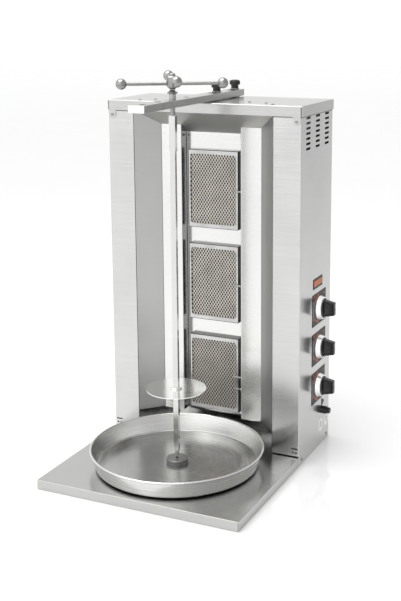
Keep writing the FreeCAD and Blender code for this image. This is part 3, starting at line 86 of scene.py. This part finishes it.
def new_material(name, **surface):
    """A material with one Principled shader, and its tree, shader and object coordinates."""
    material = bpy.data.materials.new(name)
    material.use_nodes = True
    tree = material.node_tree
    tree.nodes.clear()
    shader = add(tree, "ShaderNodeBsdfPrincipled", surface)
    add(tree, "ShaderNodeOutputMaterial", links={"Surface": shader.outputs[0]})
    coordinates = add(tree, "ShaderNodeTexCoord").outputs["Object"]
    return material, tree, shader, coordinates


def stretched_noise(tree, coordinates, grain, detail=3.0):
    """Noise whose grains are as long as the three sizes, in metres, along X, Y and Z."""
    scale = tuple(1 / size for size in grain)
    mapped = add(tree, "ShaderNodeMapping", {"Scale": scale}, {"Vector": coordinates})
    noise = add(tree, "ShaderNodeTexNoise", {"Scale": 1.0, "Detail": detail}, {"Vector": mapped.outputs[0]})
    return noise.outputs[0]


def ranged(tree, value, low, high, start=0.3, stop=0.7):
    """The value's middle range spread from low to high."""
    spread = {"From Min": start, "From Max": stop, "To Min": low, "To Max": high}
    return add(tree, "ShaderNodeMapRange", spread, {"Value": value}).outputs[0]


def tone(tree, dark, light, value):
    """A colour between two, chosen by a value from 0 to 1."""
    mixed = add(tree, "ShaderNodeMix", {"data_type": "RGBA", 6: linear(dark), 7: linear(light)}, {0: value})
    return mixed.outputs[2]


def dull_and_mark(tree, shader, streaks, smudges, rough, spread, dark, light, bump, depth):
    """Streaks and smudges in a metal's colour, roughness and relief."""
    mixed = add(tree, "ShaderNodeMix", {"data_type": "FLOAT", 0: 0.35}, {2: streaks, 3: smudges}).outputs[0]
    tree.links.new(tone(tree, dark, light, ranged(tree, mixed, 0, 1)), shader.inputs["Base Color"])
    tree.links.new(ranged(tree, mixed, rough - spread, rough + spread), shader.inputs["Roughness"])
    relief = add(tree, "ShaderNodeBump", {"Strength": bump, "Distance": depth}, {"Height": streaks})
    tree.links.new(relief.outputs[0], shader.inputs["Normal"])


def brushed_stainless(name, grain, dark, light, rough, spread=0.04, bump=0.02):
    """Stainless sheet, brushed with an abrasive belt: a soft sheen drawn out along fine scratches.
    Real scratches are 0.1 mm apart. These are about five times coarser, so that they show."""
    material, tree, shader, place = new_material(name, Metallic=1.0)
    streaks = stretched_noise(tree, place, [size * MM for size in grain])
    smudges = stretched_noise(tree, place, (0.14, 0.14, 0.18), 2.0)
    dull_and_mark(tree, shader, streaks, smudges, rough, spread, dark, light, bump, 0.2 * MM)
    return material


def spun_stainless(name, dark, light, rough):
    """Stainless spun on a former and polished as it turned: fine rings round the middle."""
    material, tree, shader, place = new_material(name, Metallic=1.0)
    parts = add(tree, "ShaderNodeSeparateXYZ", links={0: place})
    flat = add(tree, "ShaderNodeCombineXYZ", links={0: parts.outputs[0], 1: parts.outputs[1]})
    radius = add(tree, "ShaderNodeVectorMath", {"operation": "LENGTH"}, {0: flat.outputs[0]}).outputs["Value"]
    turn = add(tree, "ShaderNodeMath", {"operation": "ARCTAN2"}, {0: parts.outputs[1], 1: parts.outputs[0]})
    rings = add(tree, "ShaderNodeCombineXYZ", links={0: radius, 1: turn.outputs[0], 2: parts.outputs[2]})
    streaks = stretched_noise(tree, rings.outputs[0], (1.2 * MM, 2.5, 1.2 * MM))
    smudges = stretched_noise(tree, place, (0.09, 0.09, 0.09), 2.0)
    dull_and_mark(tree, shader, streaks, smudges, rough, 0.05, dark, light, 0.10, 0.15 * MM)
    return material


def polished_metal(name, dark, light, rough, grain=12.0, bump=0.03):
    """Metal turned or cast and then buffed: sharp reflections with faint handling marks."""
    material, tree, shader, place = new_material(name, Metallic=1.0)
    marks = stretched_noise(tree, place, [grain * MM] * 3, 4.0)
    smudges = stretched_noise(tree, place, [5 * grain * MM] * 3, 2.0)
    dull_and_mark(tree, shader, marks, smudges, rough, rough * 0.3, dark, light, bump, 0.3 * MM)
    return material


def moulded_plastic(name, dark, light, rough, texture=1.2, bump=0.12):
    """Moulded ABS or phenolic: a fine spark-eroded texture with a dull sheen, dustier in patches."""
    material, tree, shader, place = new_material(name, Metallic=0.0, IOR=1.53)
    grain = stretched_noise(tree, place, [texture * MM] * 3, 2.0)
    dust = stretched_noise(tree, place, [18 * MM] * 3, 3.0)
    tree.links.new(tone(tree, dark, light, ranged(tree, dust, 0, 1)), shader.inputs["Base Color"])
    tree.links.new(ranged(tree, dust, rough - 0.06, rough + 0.08), shader.inputs["Roughness"])
    relief = add(tree, "ShaderNodeBump", {"Strength": bump, "Distance": 0.1 * MM}, {"Height": grain})
    tree.links.new(relief.outputs[0], shader.inputs["Normal"])
    return material


def printed_film(name, code, rough, gloss=0.5):
    """Ink or film on polyester: one even colour under a faint orange-peel gloss."""
    material, tree, shader, place = new_material(name, Metallic=0.0, IOR=1.49, Roughness=rough)
    shader.inputs["Specular IOR Level"].default_value = gloss
    wear = stretched_noise(tree, place, [9 * MM] * 3, 3.0)
    brightness = ranged(tree, wear, 0.92, 1.06)
    worn = add(tree, "ShaderNodeHueSaturation", {"Color": linear(code)}, {"Value": brightness})
    tree.links.new(worn.outputs[0], shader.inputs["Base Color"])
    peel = stretched_noise(tree, place, [2.5 * MM] * 3, 1.0)
    relief = add(tree, "ShaderNodeBump", {"Strength": 0.05, "Distance": 0.1 * MM}, {"Height": peel})
    tree.links.new(relief.outputs[0], shader.inputs["Normal"])
    return material


def perforated_ceramic():
    """Cordierite burner plaque, pressed and fired: matt, scorched dark brown, with rows of flame holes.
    Real holes are 1.3 mm wide, 2.5 mm apart. These are about 2.4 mm wide, 4 mm apart, so that they show."""
    surface = {"Metallic": 0.0, "IOR": 1.5, "Roughness": 0.9}
    material, tree, shader, place = new_material("perforated_cordierite", **surface)
    pitch, bottom_radius, rim_radius = 4.0 * MM, 1.0 * MM, 1.4 * MM
    positive = add(tree, "ShaderNodeVectorMath", {"operation": "ADD", 1: (1.0, 0, 0)}, {0: place})
    tiled = add(tree, "ShaderNodeVectorMath", {"operation": "MODULO", 1: (pitch, 1.0, pitch)},
                {0: positive.outputs[0]})
    centred = add(tree, "ShaderNodeVectorMath", {"operation": "SUBTRACT", 1: (pitch / 2, 0, pitch / 2)},
                  {0: tiled.outputs[0]})
    flat = add(tree, "ShaderNodeVectorMath", {"operation": "MULTIPLY", 1: (1, 0, 1)}, {0: centred.outputs[0]})
    away = add(tree, "ShaderNodeVectorMath", {"operation": "LENGTH"}, {0: flat.outputs[0]}).outputs["Value"]
    solid = ranged(tree, away, 0.0, 1.0, bottom_radius, rim_radius)
    scorch = stretched_noise(tree, place, [45 * MM] * 3, 3.0)
    body = tone(tree, "#0a0806", "#241c17", ranged(tree, scorch, 0, 1))
    # painted shade: the flame holes are coloured near black for the shade inside them
    shaded_holes = add(tree, "ShaderNodeMix", {"data_type": "RGBA", 6: linear("#060504")}, {0: solid, 7: body})
    tree.links.new(shaded_holes.outputs[2], shader.inputs["Base Color"])
    relief = add(tree, "ShaderNodeBump", {"Strength": 0.8, "Distance": 0.8 * MM}, {"Height": solid})
    tree.links.new(relief.outputs[0], shader.inputs["Normal"])
    return material


def heat_tinted_mesh():
    """Expanded heat-resisting steel, faintly tinted straw in patches where the burner has run."""
    material, tree, shader, place = new_material("expanded_heat_steel", Metallic=1.0)
    heat = stretched_noise(tree, place, [30 * MM] * 3, 3.0)
    tree.links.new(tone(tree, "#dcd8d0", "#fbf7f0", ranged(tree, heat, 0, 1)), shader.inputs["Base Color"])
    tree.links.new(ranged(tree, heat, 0.3, 0.5), shader.inputs["Roughness"])
    return material


def maths(tree, operation, value, other=None):
    """One Math node's result, for one value or for a value and a constant."""
    settings = {"operation": operation}
    if other is not None:
        settings[1] = other
    return add(tree, "ShaderNodeMath", settings, {0: value}).outputs[0]


def scaled(tree, colour, amount):
    """A colour multiplied by an amount."""
    return add(tree, "ShaderNodeVectorMath", {"operation": "SCALE"}, {0: colour, "Scale": amount}).outputs[0]


def finished(material):
    """A finished metal's tree and shader, its present colour, and its X, Y and Z coordinates."""
    tree = material.node_tree
    shader = next(node for node in tree.nodes if node.type == "BSDF_PRINCIPLED")
    place = next(node for node in tree.nodes if node.type == "TEX_COORD").outputs["Object"]
    parts = add(tree, "ShaderNodeSeparateXYZ", links={0: place}).outputs
    return tree, shader, shader.inputs["Base Color"].links[0].from_socket, parts


def paint_seam_shadows(material, planes, strength):
    """Paints thin lines of shadow into a metal's colour where a sheet meets its neighbour or folds: (axis,
    place, half width).
    A line across X is drawn on both sides of the middle."""
    tree, shader, colour, parts = finished(material)
    for axis, middle, half_width in planes:
        side = maths(tree, "ABSOLUTE", parts[axis]) if axis == 0 else parts[axis]
        away = maths(tree, "ABSOLUTE", maths(tree, "SUBTRACT", side, middle))
        amount = ranged(tree, away, strength, 0.0, half_width * 0.6, half_width)
        # the colour of the painted shadow lines
        settings = {"data_type": "RGBA", 7: linear("#1c1c1c")}
        mixed = add(tree, "ShaderNodeMix", settings, {0: amount, 6: colour})
        colour = mixed.outputs[2]
    tree.links.new(colour, shader.inputs["Base Color"])


def dull_wings_and_paint_shade(material):
    """Makes the deflectors' splayed wings rougher than their flat panels, with painted shade on them, deepest
    on the control side, and paints shade onto the flanges that run back beside the burners."""
    tree, shader, colour, parts = finished(material)
    shine = shader.inputs["Roughness"].links[0].from_socket
    across = maths(tree, "ABSOLUTE", parts[0])
    on_wing = ranged(tree, across, 0.0, 1.0, WING_FOLD - 0.2 * MM, WING_FOLD + 0.4 * MM)
    # painted shade: the wings' colour scaled from 0.80 on the far side to 0.50 on the control side
    brightness = ranged(tree, parts[0], 0.80, 0.50, -0.15, 0.15)
    mixed = add(tree, "ShaderNodeMix", {"data_type": "FLOAT", 2: 1.0}, {0: on_wing, 3: brightness})
    # painted shade: the flanges beside the burners darkened to 0.45 of their colour
    painted_flange_shade = ranged(tree, across, 0.45, 1.0, FLANGE_EDGE - 0.8 * MM, FLANGE_EDGE)
    shaded = scaled(tree, scaled(tree, colour, mixed.outputs[0]), painted_flange_shade)
    tree.links.new(shaded, shader.inputs["Base Color"])
    rougher = add(tree, "ShaderNodeMath", {"operation": "MULTIPLY_ADD", 1: 0.2}, {0: on_wing, 2: shine})
    tree.links.new(rougher.outputs[0], shader.inputs["Roughness"])


def paint_light_past_plane(material, axis, start, stop, factor):
    """Paints light or shade into a metal's colour past a plane by scaling it: full at the start, and by the
    factor at the stop.
    """
    tree, shader, colour, parts = finished(material)
    toned = scaled(tree, colour, ranged(tree, parts[axis], 1.0, factor, start, stop))
    tree.links.new(toned, shader.inputs["Base Color"])


# Length of the scratches along X, Y and Z, in millimetres.
LEVEL_BRUSH = (90.0, 90.0, 0.55)
CROSS_BRUSH = (90.0, 0.55, 0.55)
UPRIGHT_BRUSH = (0.5, 0.5, 90.0)
LONG_BRUSH = (0.55, 90.0, 0.55)
EVEN_GRAIN = (40.0, 40.0, 40.0)

# Where the sheets fold or meet, in metres. Those across X are the same on both sides.
COLUMN_EDGE = 0.1808
LIP_EDGE = 0.8304
WING_FOLD = 0.132
FLANGE_EDGE = 0.0790
OPENING_EDGE_X, OPENING_EDGE_Z = 0.0660, 0.0955
LOWEST_BURNER, BURNER_PITCH = 0.177, 0.232
ARM_FRONT = -0.1635
PAN_FLOOR = 0.0275

casing_steel = brushed_stainless("level_brushed_stainless", LEVEL_BRUSH, "#bababa", "#d0d0ce", 0.22)
recess_steel = brushed_stainless("bright_brushed_stainless", LEVEL_BRUSH, "#d3d3d1", "#dededc",
                                 0.15, 0.03, 0.008)
base_steel = brushed_stainless("cross_brushed_stainless", CROSS_BRUSH, "#b4b4b2", "#c2c2c0", 0.24)
arm_steel = brushed_stainless("long_brushed_stainless", LONG_BRUSH, "#a0a09e", "#b0b0ae", 0.22)
# Darker than the outer sheets: a duller mill finish, and painted shade, so that the inside seen through the
# vents reads dark.
inner_steel = brushed_stainless("mill_finish_steel_painted_shade", LEVEL_BRUSH, "#7f7f7d", "#8f8f8d", 0.42)
burner_steel = brushed_stainless("pressed_stainless", EVEN_GRAIN, "#a4a4a3", "#cbcbca", 0.16)
spit_steel = brushed_stainless("drawn_stainless_bar", UPRIGHT_BRUSH, "#c6c6c4", "#d6d6d4", 0.16)
disc_steel = polished_metal("mirror_polished_stainless", "#e4e4e2", "#ececea", 0.18, 30.0, 0.01)
pan_steel = spun_stainless("spun_polished_stainless", "#cacac8", "#e2e2e0", 0.25)
hub_steel = polished_metal("cast_stainless_hub", "#6d6d6b", "#959593", 0.38, 3.0, 0.25)
crank_steel = polished_metal("buffed_cast_steel", "#8a8a88", "#9c9c9a", 0.26, 14.0, 0.015)
ball_steel = polished_metal("buffed_steel_ball", "#8c8c8a", "#a6a6a4", 0.20, 12.0, 0.03)
screw_steel = polished_metal("zinc_plated_screw_steel", "#8e8e8c", "#aaaaa8", 0.28, 2.0)
bezel_chrome = polished_metal("satin_chrome_plate", "#e8e8e8", "#f6f6f6", 0.22, 20.0, 0.01)
brass = polished_metal("machined_brass", "#9c7c3c", "#c4a156", 0.30, 6.0)
pipe_steel = polished_metal("zinc_plated_pipe", "#8e8e8c", "#a9a9a7", 0.35, 9.0)
knob_plastic = moulded_plastic("moulded_phenolic_black", "#0e0e0f", "#1b1b1c", 0.30)
clamp_plastic = moulded_plastic("moulded_nylon_black", "#0d0d0d", "#1d1d1d", 0.45)
igniter_plastic = moulded_plastic("moulded_abs_black", "#0c0c0c", "#191919", 0.35)
plate_film = printed_film("black_printed_film", "#0b0a0a", 0.34, 0.2)
white_ink = printed_film("white_ink", "#e9e6e0", 0.45)
orange_ink = printed_film("orange_ink", "#c4622a", 0.40)
label_film = printed_film("white_label_film", "#fbfbfa", 0.5)
grey_ink = printed_film("grey_ink", "#4c4c4c", 0.5)
plaque = perforated_ceramic()
mesh_steel = heat_tinted_mesh()
deflector_steel = brushed_stainless("splayed_brushed_stainless", LEVEL_BRUSH, "#d6d6d4", "#e0e0de",
                                    0.18, 0.03, 0.008)
hood_steel = brushed_stainless("shaded_brushed_stainless", LEVEL_BRUSH, "#b0b0ae", "#b9b9b7", 0.42)

dull_wings_and_paint_shade(deflector_steel)
# painted shadow along the fold of each wing
paint_seam_shadows(deflector_steel, [(0, WING_FOLD, 0.9 * MM)], 0.6)
# painted highlight: the arm's front end face drawn 2.1 times brighter
paint_light_past_plane(arm_steel, 1, ARM_FRONT + 2 * MM, ARM_FRONT, 2.1)
# painted shadow: the pan's lowest 2.5 mm drawn darker, down to 0.66 at its floor
paint_light_past_plane(pan_steel, 2, PAN_FLOOR + 2.5 * MM, PAN_FLOOR, 0.66)
# painted shadow lines round the burner openings
opening_shadow_lines = [(0, OPENING_EDGE_X, 1.4 * MM)]
for row in range(BURNERS):
    for side in (-1, 1):
        edge = LOWEST_BURNER + BURNER_PITCH * row + side * OPENING_EDGE_Z
        opening_shadow_lines.append((2, edge, 1.4 * MM))
paint_seam_shadows(burner_steel, opening_shadow_lines, 0.9)
# painted shadow lines at the columns' edges and under the top cover's lip
paint_seam_shadows(casing_steel, [(0, COLUMN_EDGE, 1.2 * MM), (2, LIP_EDGE, 1.6 * MM)], 0.8)

FINISHES = {
    "base_stainless": base_steel,
    "casing_stainless": casing_steel,
    "recess_stainless": recess_steel,
    "inner_steel": inner_steel,
    "burner_stainless": burner_steel,
    "plaque_ceramic": plaque,
    "brass": brass,
    "zinc_steel": pipe_steel,
    "spindle_steel": screw_steel,
    "probe_steel": screw_steel,
    "knob_plastic": knob_plastic,
    "bezel_chrome": bezel_chrome,
    "plate_black": plate_film,
    "igniter_plastic": igniter_plastic,
    "arm_stainless": arm_steel,
    "spit_stainless": spit_steel,
    "crank_stainless": crank_steel,
    "ball_steel": ball_steel,
    "clamp_plastic": clamp_plastic,
    "stud_steel": screw_steel,
    "pan_stainless": pan_steel,
    "hub_stainless": hub_steel,
}
# Parts whose finish differs from the rest of their slot's.
NODE_FINISHES = {
    "meat_disc": disc_steel,
    "top_cover": base_steel,
    "deflector_left": deflector_steel,
    "deflector_right": deflector_steel,
    "hood_panel": hood_steel,
}


def finish_nodes():
    """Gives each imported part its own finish, or else the finish of its slot."""
    for name, node in frame["nodes"].items():
        material = NODE_FINISHES.get(name) or FINISHES[SLOTS[name]]
        if not node.material_slots:
            node.data.materials.append(material)
        for slot in node.material_slots:
            slot.material = material


# ---- Pieces --------------------------------------------------------------------------------------
def piece(name, mesh, material, body, smooth=35.0):
    """A finished piece from a bmesh: faces outwards, soft corners, riding on its body."""
    bmesh.ops.remove_doubles(mesh, verts=mesh.verts, dist=1e-6)
    bmesh.ops.recalc_face_normals(mesh, faces=mesh.faces)
    data = bpy.data.meshes.new(name)
    mesh.to_mesh(data)
    mesh.free()
    data.materials.append(material)
    data.shade_smooth()
    data.set_sharp_from_angle(angle=math.radians(smooth))
    made = bpy.data.objects.new(name, data)
    bpy.context.scene.collection.objects.link(made)
    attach(made, body)
    return made


def bevelled(mesh, edges, width, segments):
    """Rounds edges of a bmesh by a width."""
    bmesh.ops.bevel(mesh, geom=edges, offset=width, offset_type="OFFSET", segments=segments, profile=0.5,
                    affect="EDGES", material=-1)


def turned(outline, axis, centre, steps=64):
    """A bmesh turned from (radius, height) points about an axis, other than Y, through the centre."""
    mesh = bmesh.new()
    points = [mesh.verts.new(centre + ACROSS_Y * radius + axis * height) for radius, height in outline]
    for first, second in zip(points, points[1:]):
        mesh.edges.new((first, second))
    bmesh.ops.spin(mesh, geom=mesh.verts[:] + mesh.edges[:], cent=centre, axis=axis, angle=2 * math.pi,
                   steps=steps, use_merge=True)
    return mesh


def lowest_and_highest(name):
    """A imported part's lowest and highest corners, as vectors."""
    return [Vector(corner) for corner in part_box(name)]


def middle_of(name):
    """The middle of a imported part's box."""
    low, high = lowest_and_highest(name)
    return (low + high) / 2


def join(mesh, other):
    """Adds another bmesh's faces to a bmesh."""
    data = bpy.data.meshes.new("joined")
    other.to_mesh(data)
    other.free()
    mesh.from_mesh(data)
    bpy.data.meshes.remove(data)


def make_tap_spring(number):
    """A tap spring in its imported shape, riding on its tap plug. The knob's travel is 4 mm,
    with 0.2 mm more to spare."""
    name = f"tap_spring_{number}"
    mesh = bmesh.new()
    mesh.from_mesh(frame["nodes"][name].data)
    spring = piece(f"coiled_spring_{number}", mesh, screw_steel, f"tap_plug_{number}")
    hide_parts(name)
    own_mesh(spring)


def make_burner_mesh():
    """Expanded metal in front of the plaques: flat strands round diamonds, cut off inside the opening."""
    cells = 40
    diamond_wide, diamond_tall = 7.4 * MM, 11 * MM
    half_strand = 0.52 * MM
    half_x, half_z = 63 * MM, 88 * MM
    smallest_whole = 14 * MM * MM
    low, high = lowest_and_highest("burner_gauzes")
    frame_low, frame_high = lowest_and_highest("burner_frames")
    pitch = (frame_high.z - frame_low.z - FRAME_TALL) / (BURNERS - 1)
    mesh = bmesh.new()
    bmesh.ops.create_grid(mesh, x_segments=cells, y_segments=cells, size=1.0)
    bmesh.ops.rotate(mesh, verts=mesh.verts, cent=(0, 0, 0), matrix=Matrix.Rotation(math.radians(45), 3, "Z"))
    to_diagonal = cells / (2 * math.sqrt(2))
    bmesh.ops.scale(mesh, verts=mesh.verts, vec=(diamond_wide * to_diagonal, diamond_tall * to_diagonal, 1))
    for place, outwards in (((half_x, 0, 0), ACROSS_X), ((-half_x, 0, 0), -ACROSS_X),
                            ((0, half_z, 0), ACROSS_Y), ((0, -half_z, 0), -ACROSS_Y)):
        geometry = mesh.verts[:] + mesh.edges[:] + mesh.faces[:]
        bmesh.ops.bisect_plane(mesh, geom=geometry, dist=1e-6, plane_co=place, plane_no=outwards,
                               clear_outer=True)
    whole = [face for face in mesh.faces if face.calc_area() > smallest_whole]
    bmesh.ops.inset_individual(mesh, faces=whole, thickness=half_strand, use_even_offset=True)
    bmesh.ops.delete(mesh, geom=whole, context="FACES_ONLY")
    bmesh.ops.rotate(mesh, verts=mesh.verts, cent=(0, 0, 0), matrix=Matrix.Rotation(math.radians(90), 3, "X"))
    bmesh.ops.translate(mesh, verts=mesh.verts, vec=(0, low.y, frame_low.z + FRAME_TALL / 2))
    bmesh.ops.solidify(mesh, geom=mesh.faces[:], thickness=-(high.y - low.y))
    first = mesh.verts[:] + mesh.edges[:] + mesh.faces[:]
    for step in range(1, BURNERS):
        copied = bmesh.ops.duplicate(mesh, geom=first)["geom"]
        moved = [item for item in copied if isinstance(item, bmesh.types.BMVert)]
        bmesh.ops.translate(mesh, verts=moved, vec=(0, 0, step * pitch))
    made = piece("burner_mesh", mesh, mesh_steel, "broiler", 20.0)
    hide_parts("burner_gauzes")


def make_knob(number):
    """A moulded knob: a round skirt with a tapered grip across it, dished on both flanks."""
    low, high = lowest_and_highest(f"control_knob_{number}")
    middle = (low + high) / 2
    back, front = low.x, high.x
    radius = (high.z - low.z) / 2
    grip_wide = 17 * MM
    grip_start = 4 * MM
    skirt = [(0, 0), (radius - 1 * MM, 0), (radius, 1 * MM), (radius, 6 * MM), (radius - 1.2 * MM, 8.5 * MM),
             (radius - 3.5 * MM, 10 * MM), (0, 10.6 * MM)]
    mesh = turned([(reach, back - middle.x + height) for reach, height in skirt], ACROSS_X, middle)
    grip = bmesh.new()
    bmesh.ops.create_cube(grip, size=1.0)
    bmesh.ops.scale(grip, verts=grip.verts, vec=(front - back - grip_start, grip_wide, 2 * radius - 2 * MM))
    bmesh.ops.translate(grip, verts=grip.verts, vec=middle + ACROSS_X * grip_start / 2)
    outer = [vert for vert in grip.verts if vert.co.x > middle.x]
    centred = Matrix.Translation(-middle)
    bmesh.ops.scale(grip, verts=outer, vec=(1, 0.74, 0.72), space=centred)
    flanks = [face for face in grip.faces if abs(face.normal.y) > 0.9]
    bmesh.ops.inset_individual(grip, faces=flanks, thickness=5 * MM, depth=0)
    bmesh.ops.inset_individual(grip, faces=flanks, thickness=0.7 * MM, depth=-1.6 * MM)
    bevelled(grip, grip.edges[:], 1.0 * MM, 3)
    join(mesh, grip)
    made = piece(f"moulded_knob_{number}", mesh, knob_plastic, f"knob_{number}", 40.0)
    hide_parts(f"control_knob_{number}")
    pointer = bmesh.new()
    bmesh.ops.create_cube(pointer, size=1.0)
    bmesh.ops.scale(pointer, verts=pointer.verts, vec=(0.4 * MM, 1.6 * MM, 9 * MM))
    bmesh.ops.translate(pointer, verts=pointer.verts, vec=(front - 0.1 * MM, middle.y, middle.z + 8 * MM))
    piece(f"knob_pointer_{number}", pointer, white_ink, f"knob_{number}")


def printed_patch(mesh, plane_x, y, z, width, height, corners=4):
    """A flat patch of ink or film against the casing's side. raised() then gives it a thickness."""
    made = bmesh.ops.create_circle(mesh, cap_ends=True, segments=corners, radius=math.sqrt(0.5))["verts"]
    if corners == 4:
        bmesh.ops.rotate(mesh, verts=made, cent=(0, 0, 0), matrix=Matrix.Rotation(math.radians(45), 3, "Z"))
        bmesh.ops.scale(mesh, verts=made, vec=(height, width, 1))
    else:
        bmesh.ops.scale(mesh, verts=made, vec=(height / math.sqrt(2), width / math.sqrt(2), 1))
    bmesh.ops.rotate(mesh, verts=made, cent=(0, 0, 0), matrix=Matrix.Rotation(math.radians(90), 3, "Y"))
    bmesh.ops.translate(mesh, verts=made, vec=(plane_x, y, z))


def raised(mesh, height=0.15 * MM):
    """Gives a bmesh of flat patches a thickness, away from the casing."""
    lifted = bmesh.ops.extrude_face_region(mesh, geom=mesh.faces[:])["geom"]
    verts = [item for item in lifted if isinstance(item, bmesh.types.BMVert)]
    bmesh.ops.translate(mesh, verts=verts, vec=(height, 0, 0))


def make_plate_prints():
    """Setting marks on each control plate: a column of dots, two arcs of ticks and three round spots."""
    dots, dot_pitch, dot_inset = 9, 5.4 * MM, 6.5 * MM
    ticks, first_tick, tick_step = 7, 28, 8.5
    arc_wide, arc_tall = 36.75 * MM, 34 * MM
    spots = ((33 * MM, 30 * MM), (33 * MM, -30 * MM), (-35 * MM, 34 * MM))
    low, high = lowest_and_highest("control_plates")
    white, orange = bmesh.new(), bmesh.new()
    for number in range(1, BURNERS + 1):
        knob = middle_of(f"control_knob_{number}")
        for step in range(dots):
            height = knob.z + (step - dots // 2) * dot_pitch
            printed_patch(white, high.x, low.y + dot_inset, height, 3.4 * MM, 2.4 * MM, 10)
        for side in (-1, 1):
            for step in range(ticks):
                around = math.radians(90 + side * (first_tick + tick_step * step))
                tick_tall = (3.2 + 0.7 * step) * MM
                printed_patch(orange, high.x, knob.y - arc_wide * math.sin(around),
                              knob.z - arc_tall * math.cos(around), 3.0 * MM, tick_tall)
        for reach, height in spots:
            printed_patch(orange, high.x, knob.y + reach, knob.z + height, 5.0 * MM, 6.5 * MM, 12)
    for name, mesh, ink in (("plate_dots", white, white_ink), ("plate_ticks", orange, orange_ink)):
        raised(mesh)
        piece(name, mesh, ink, "broiler")


def make_labels():
    """A plain badge above the controls, two round labels near the foot and a triangle over the igniter."""
    plane = lowest_and_highest("control_plates")[0].x
    badge_y, badge_z, badge_thick = 0.262, 0.4235, 0.8 * MM
    label_thick = 0.15 * MM
    badge = bmesh.new()
    printed_patch(badge, plane, badge_y, badge_z, 62 * MM, 25 * MM)
    raised(badge, badge_thick)
    piece("plain_badge", badge, plate_film, "broiler")
    band = bmesh.new()
    printed_patch(band, plane + badge_thick, badge_y, badge_z, 54 * MM, 14 * MM)
    raised(band)
    piece("badge_band", band, orange_ink, "broiler")
    film, lines = bmesh.new(), bmesh.new()
    for y, z in ((0.295, 0.0500), (0.3355, 0.0500)):
        printed_patch(film, plane, y, z, 30 * MM, 33 * MM, 32)
        for drop in (-5 * MM, 0.5 * MM, 6 * MM):
            printed_patch(lines, plane + label_thick, y, z + drop, 15 * MM, 1.6 * MM)
    raised(film, label_thick)
    raised(lines, 0.1 * MM)
    piece("film_labels", film, label_film, "broiler")
    piece("label_lines", lines, grey_ink, "broiler")
    marker_radius, marker_rise = 15 * MM, 20 * MM
    marker = bmesh.new()
    corners = bmesh.ops.create_circle(marker, cap_ends=True, segments=3, radius=marker_radius)["verts"]
    bmesh.ops.rotate(marker, verts=corners, cent=(0, 0, 0), matrix=Matrix.Rotation(math.radians(90), 3, "Y"))
    igniter = middle_of("igniter_button")
    bmesh.ops.translate(marker, verts=corners, vec=(plane, igniter.y, igniter.z + marker_rise))
    raised(marker)
    piece("igniter_marker", marker, plate_film, "broiler")


finish_nodes()
make_burner_mesh()
for knob_number in range(1, BURNERS + 1):
    make_knob(knob_number)
    make_tap_spring(knob_number)
make_plate_prints()
make_labels()


# ---- Floor, light and camera ---------------------------------------------------------------------
def make_floor():
    """A wide, glossy white floor just under the broiler."""
    below = 0.4 * MM
    mesh = bmesh.new()
    bmesh.ops.create_circle(mesh, cap_ends=True, segments=96, radius=30.0)
    bmesh.ops.translate(mesh, verts=mesh.verts, vec=(0, 0, -below))
    data = bpy.data.meshes.new("floor")
    mesh.to_mesh(data)
    mesh.free()
    surface = {"Metallic": 0.0, "IOR": 1.6, "Roughness": 0.05}
    material, tree, shader, place = new_material("glossy_white_acrylic", **surface)
    haze = stretched_noise(tree, place, (0.6, 0.6, 0.6), 2.0)
    tree.links.new(tone(tree, "#ececec", "#f0f0f0", haze), shader.inputs["Base Color"])
    data.materials.append(material)
    floor = bpy.data.objects.new("floor", data)
    bpy.context.scene.collection.objects.link(floor)


# Each lobe of the surround: its direction, its gain, and the cosines where it starts and is full.
BRIGHT_LOBE = ((-0.43, -0.90, 0.0), 0.62, 0.2, 0.9)
DIM_LOBE = ((0.98, 0.20, 0.0), -0.34, 0.1, 0.6)
SKY_STRENGTH = 1.03


def make_sky():
    """A plain pale surround: brightest in front of the open recess, and dimmer on the control side."""
    world = bpy.data.worlds.new("surround")
    bpy.context.scene.world = world
    world.use_nodes = True
    tree = world.node_tree
    tree.nodes.clear()
    direction = add(tree, "ShaderNodeTexCoord").outputs["Generated"]
    lobes = []
    for way, gain, start, stop in (BRIGHT_LOBE, DIM_LOBE):
        facing = add(tree, "ShaderNodeVectorMath", {"operation": "DOT_PRODUCT", 1: way}, {0: direction})
        lobes.append(ranged(tree, facing.outputs["Value"], 0.0, gain, start, stop))
    both = add(tree, "ShaderNodeMath", {"operation": "ADD"}, {0: lobes[0], 1: lobes[1]}).outputs[0]
    strength = maths(tree, "ADD", both, SKY_STRENGTH)
    light = add(tree, "ShaderNodeBackground", {"Color": (1, 1, 1, 1)}, {"Strength": strength})
    add(tree, "ShaderNodeOutputWorld", links={"Surface": light.outputs[0]})


def make_softbox(name, place, aim, width, height, power):
    """A rectangular soft light, aimed at a point."""
    light = bpy.data.lights.new(name, "AREA")
    light.shape = "RECTANGLE"
    light.size = width
    light.size_y = height
    light.energy = power
    lamp = bpy.data.objects.new(name, light)
    bpy.context.scene.collection.objects.link(lamp)
    lamp.location = place
    lamp.rotation_euler = (Vector(aim) - Vector(place)).to_track_quat("-Z", "Y").to_euler()


def make_camera():
    """The view from the front and the control side, a little above the broiler's top."""
    turn, tilt, roll = 0.4288, -0.1815, -0.0039
    place = (1.0840, -2.0803, 1.0691)
    ahead = Vector((-math.sin(turn) * math.cos(tilt), math.cos(turn) * math.cos(tilt), math.sin(tilt)))
    right = Vector((math.cos(turn), math.sin(turn), 0))
    above = right.cross(ahead)
    across = right * math.cos(roll) + above * math.sin(roll)
    upward = above * math.cos(roll) - right * math.sin(roll)
    lens = bpy.data.cameras.new("camera")
    lens.sensor_width = 36.0
    lens.lens = 63.61
    lens.shift_x = -0.0455
    lens.shift_y = -0.16
    camera = bpy.data.objects.new("camera", lens)
    bpy.context.scene.collection.objects.link(camera)
    axes = Matrix((across, upward, -ahead)).transposed().to_4x4()
    camera.matrix_world = Matrix.Translation(place) @ axes
    bpy.context.scene.camera = camera


make_floor()
make_sky()
make_softbox("overhead_softbox", place=(-0.6, -0.4, 3.2), aim=(0, 0, 0.3),
             width=2.6, height=2.6, power=60)
make_camera()
bpy.context.scene.view_settings.view_transform = "Standard"
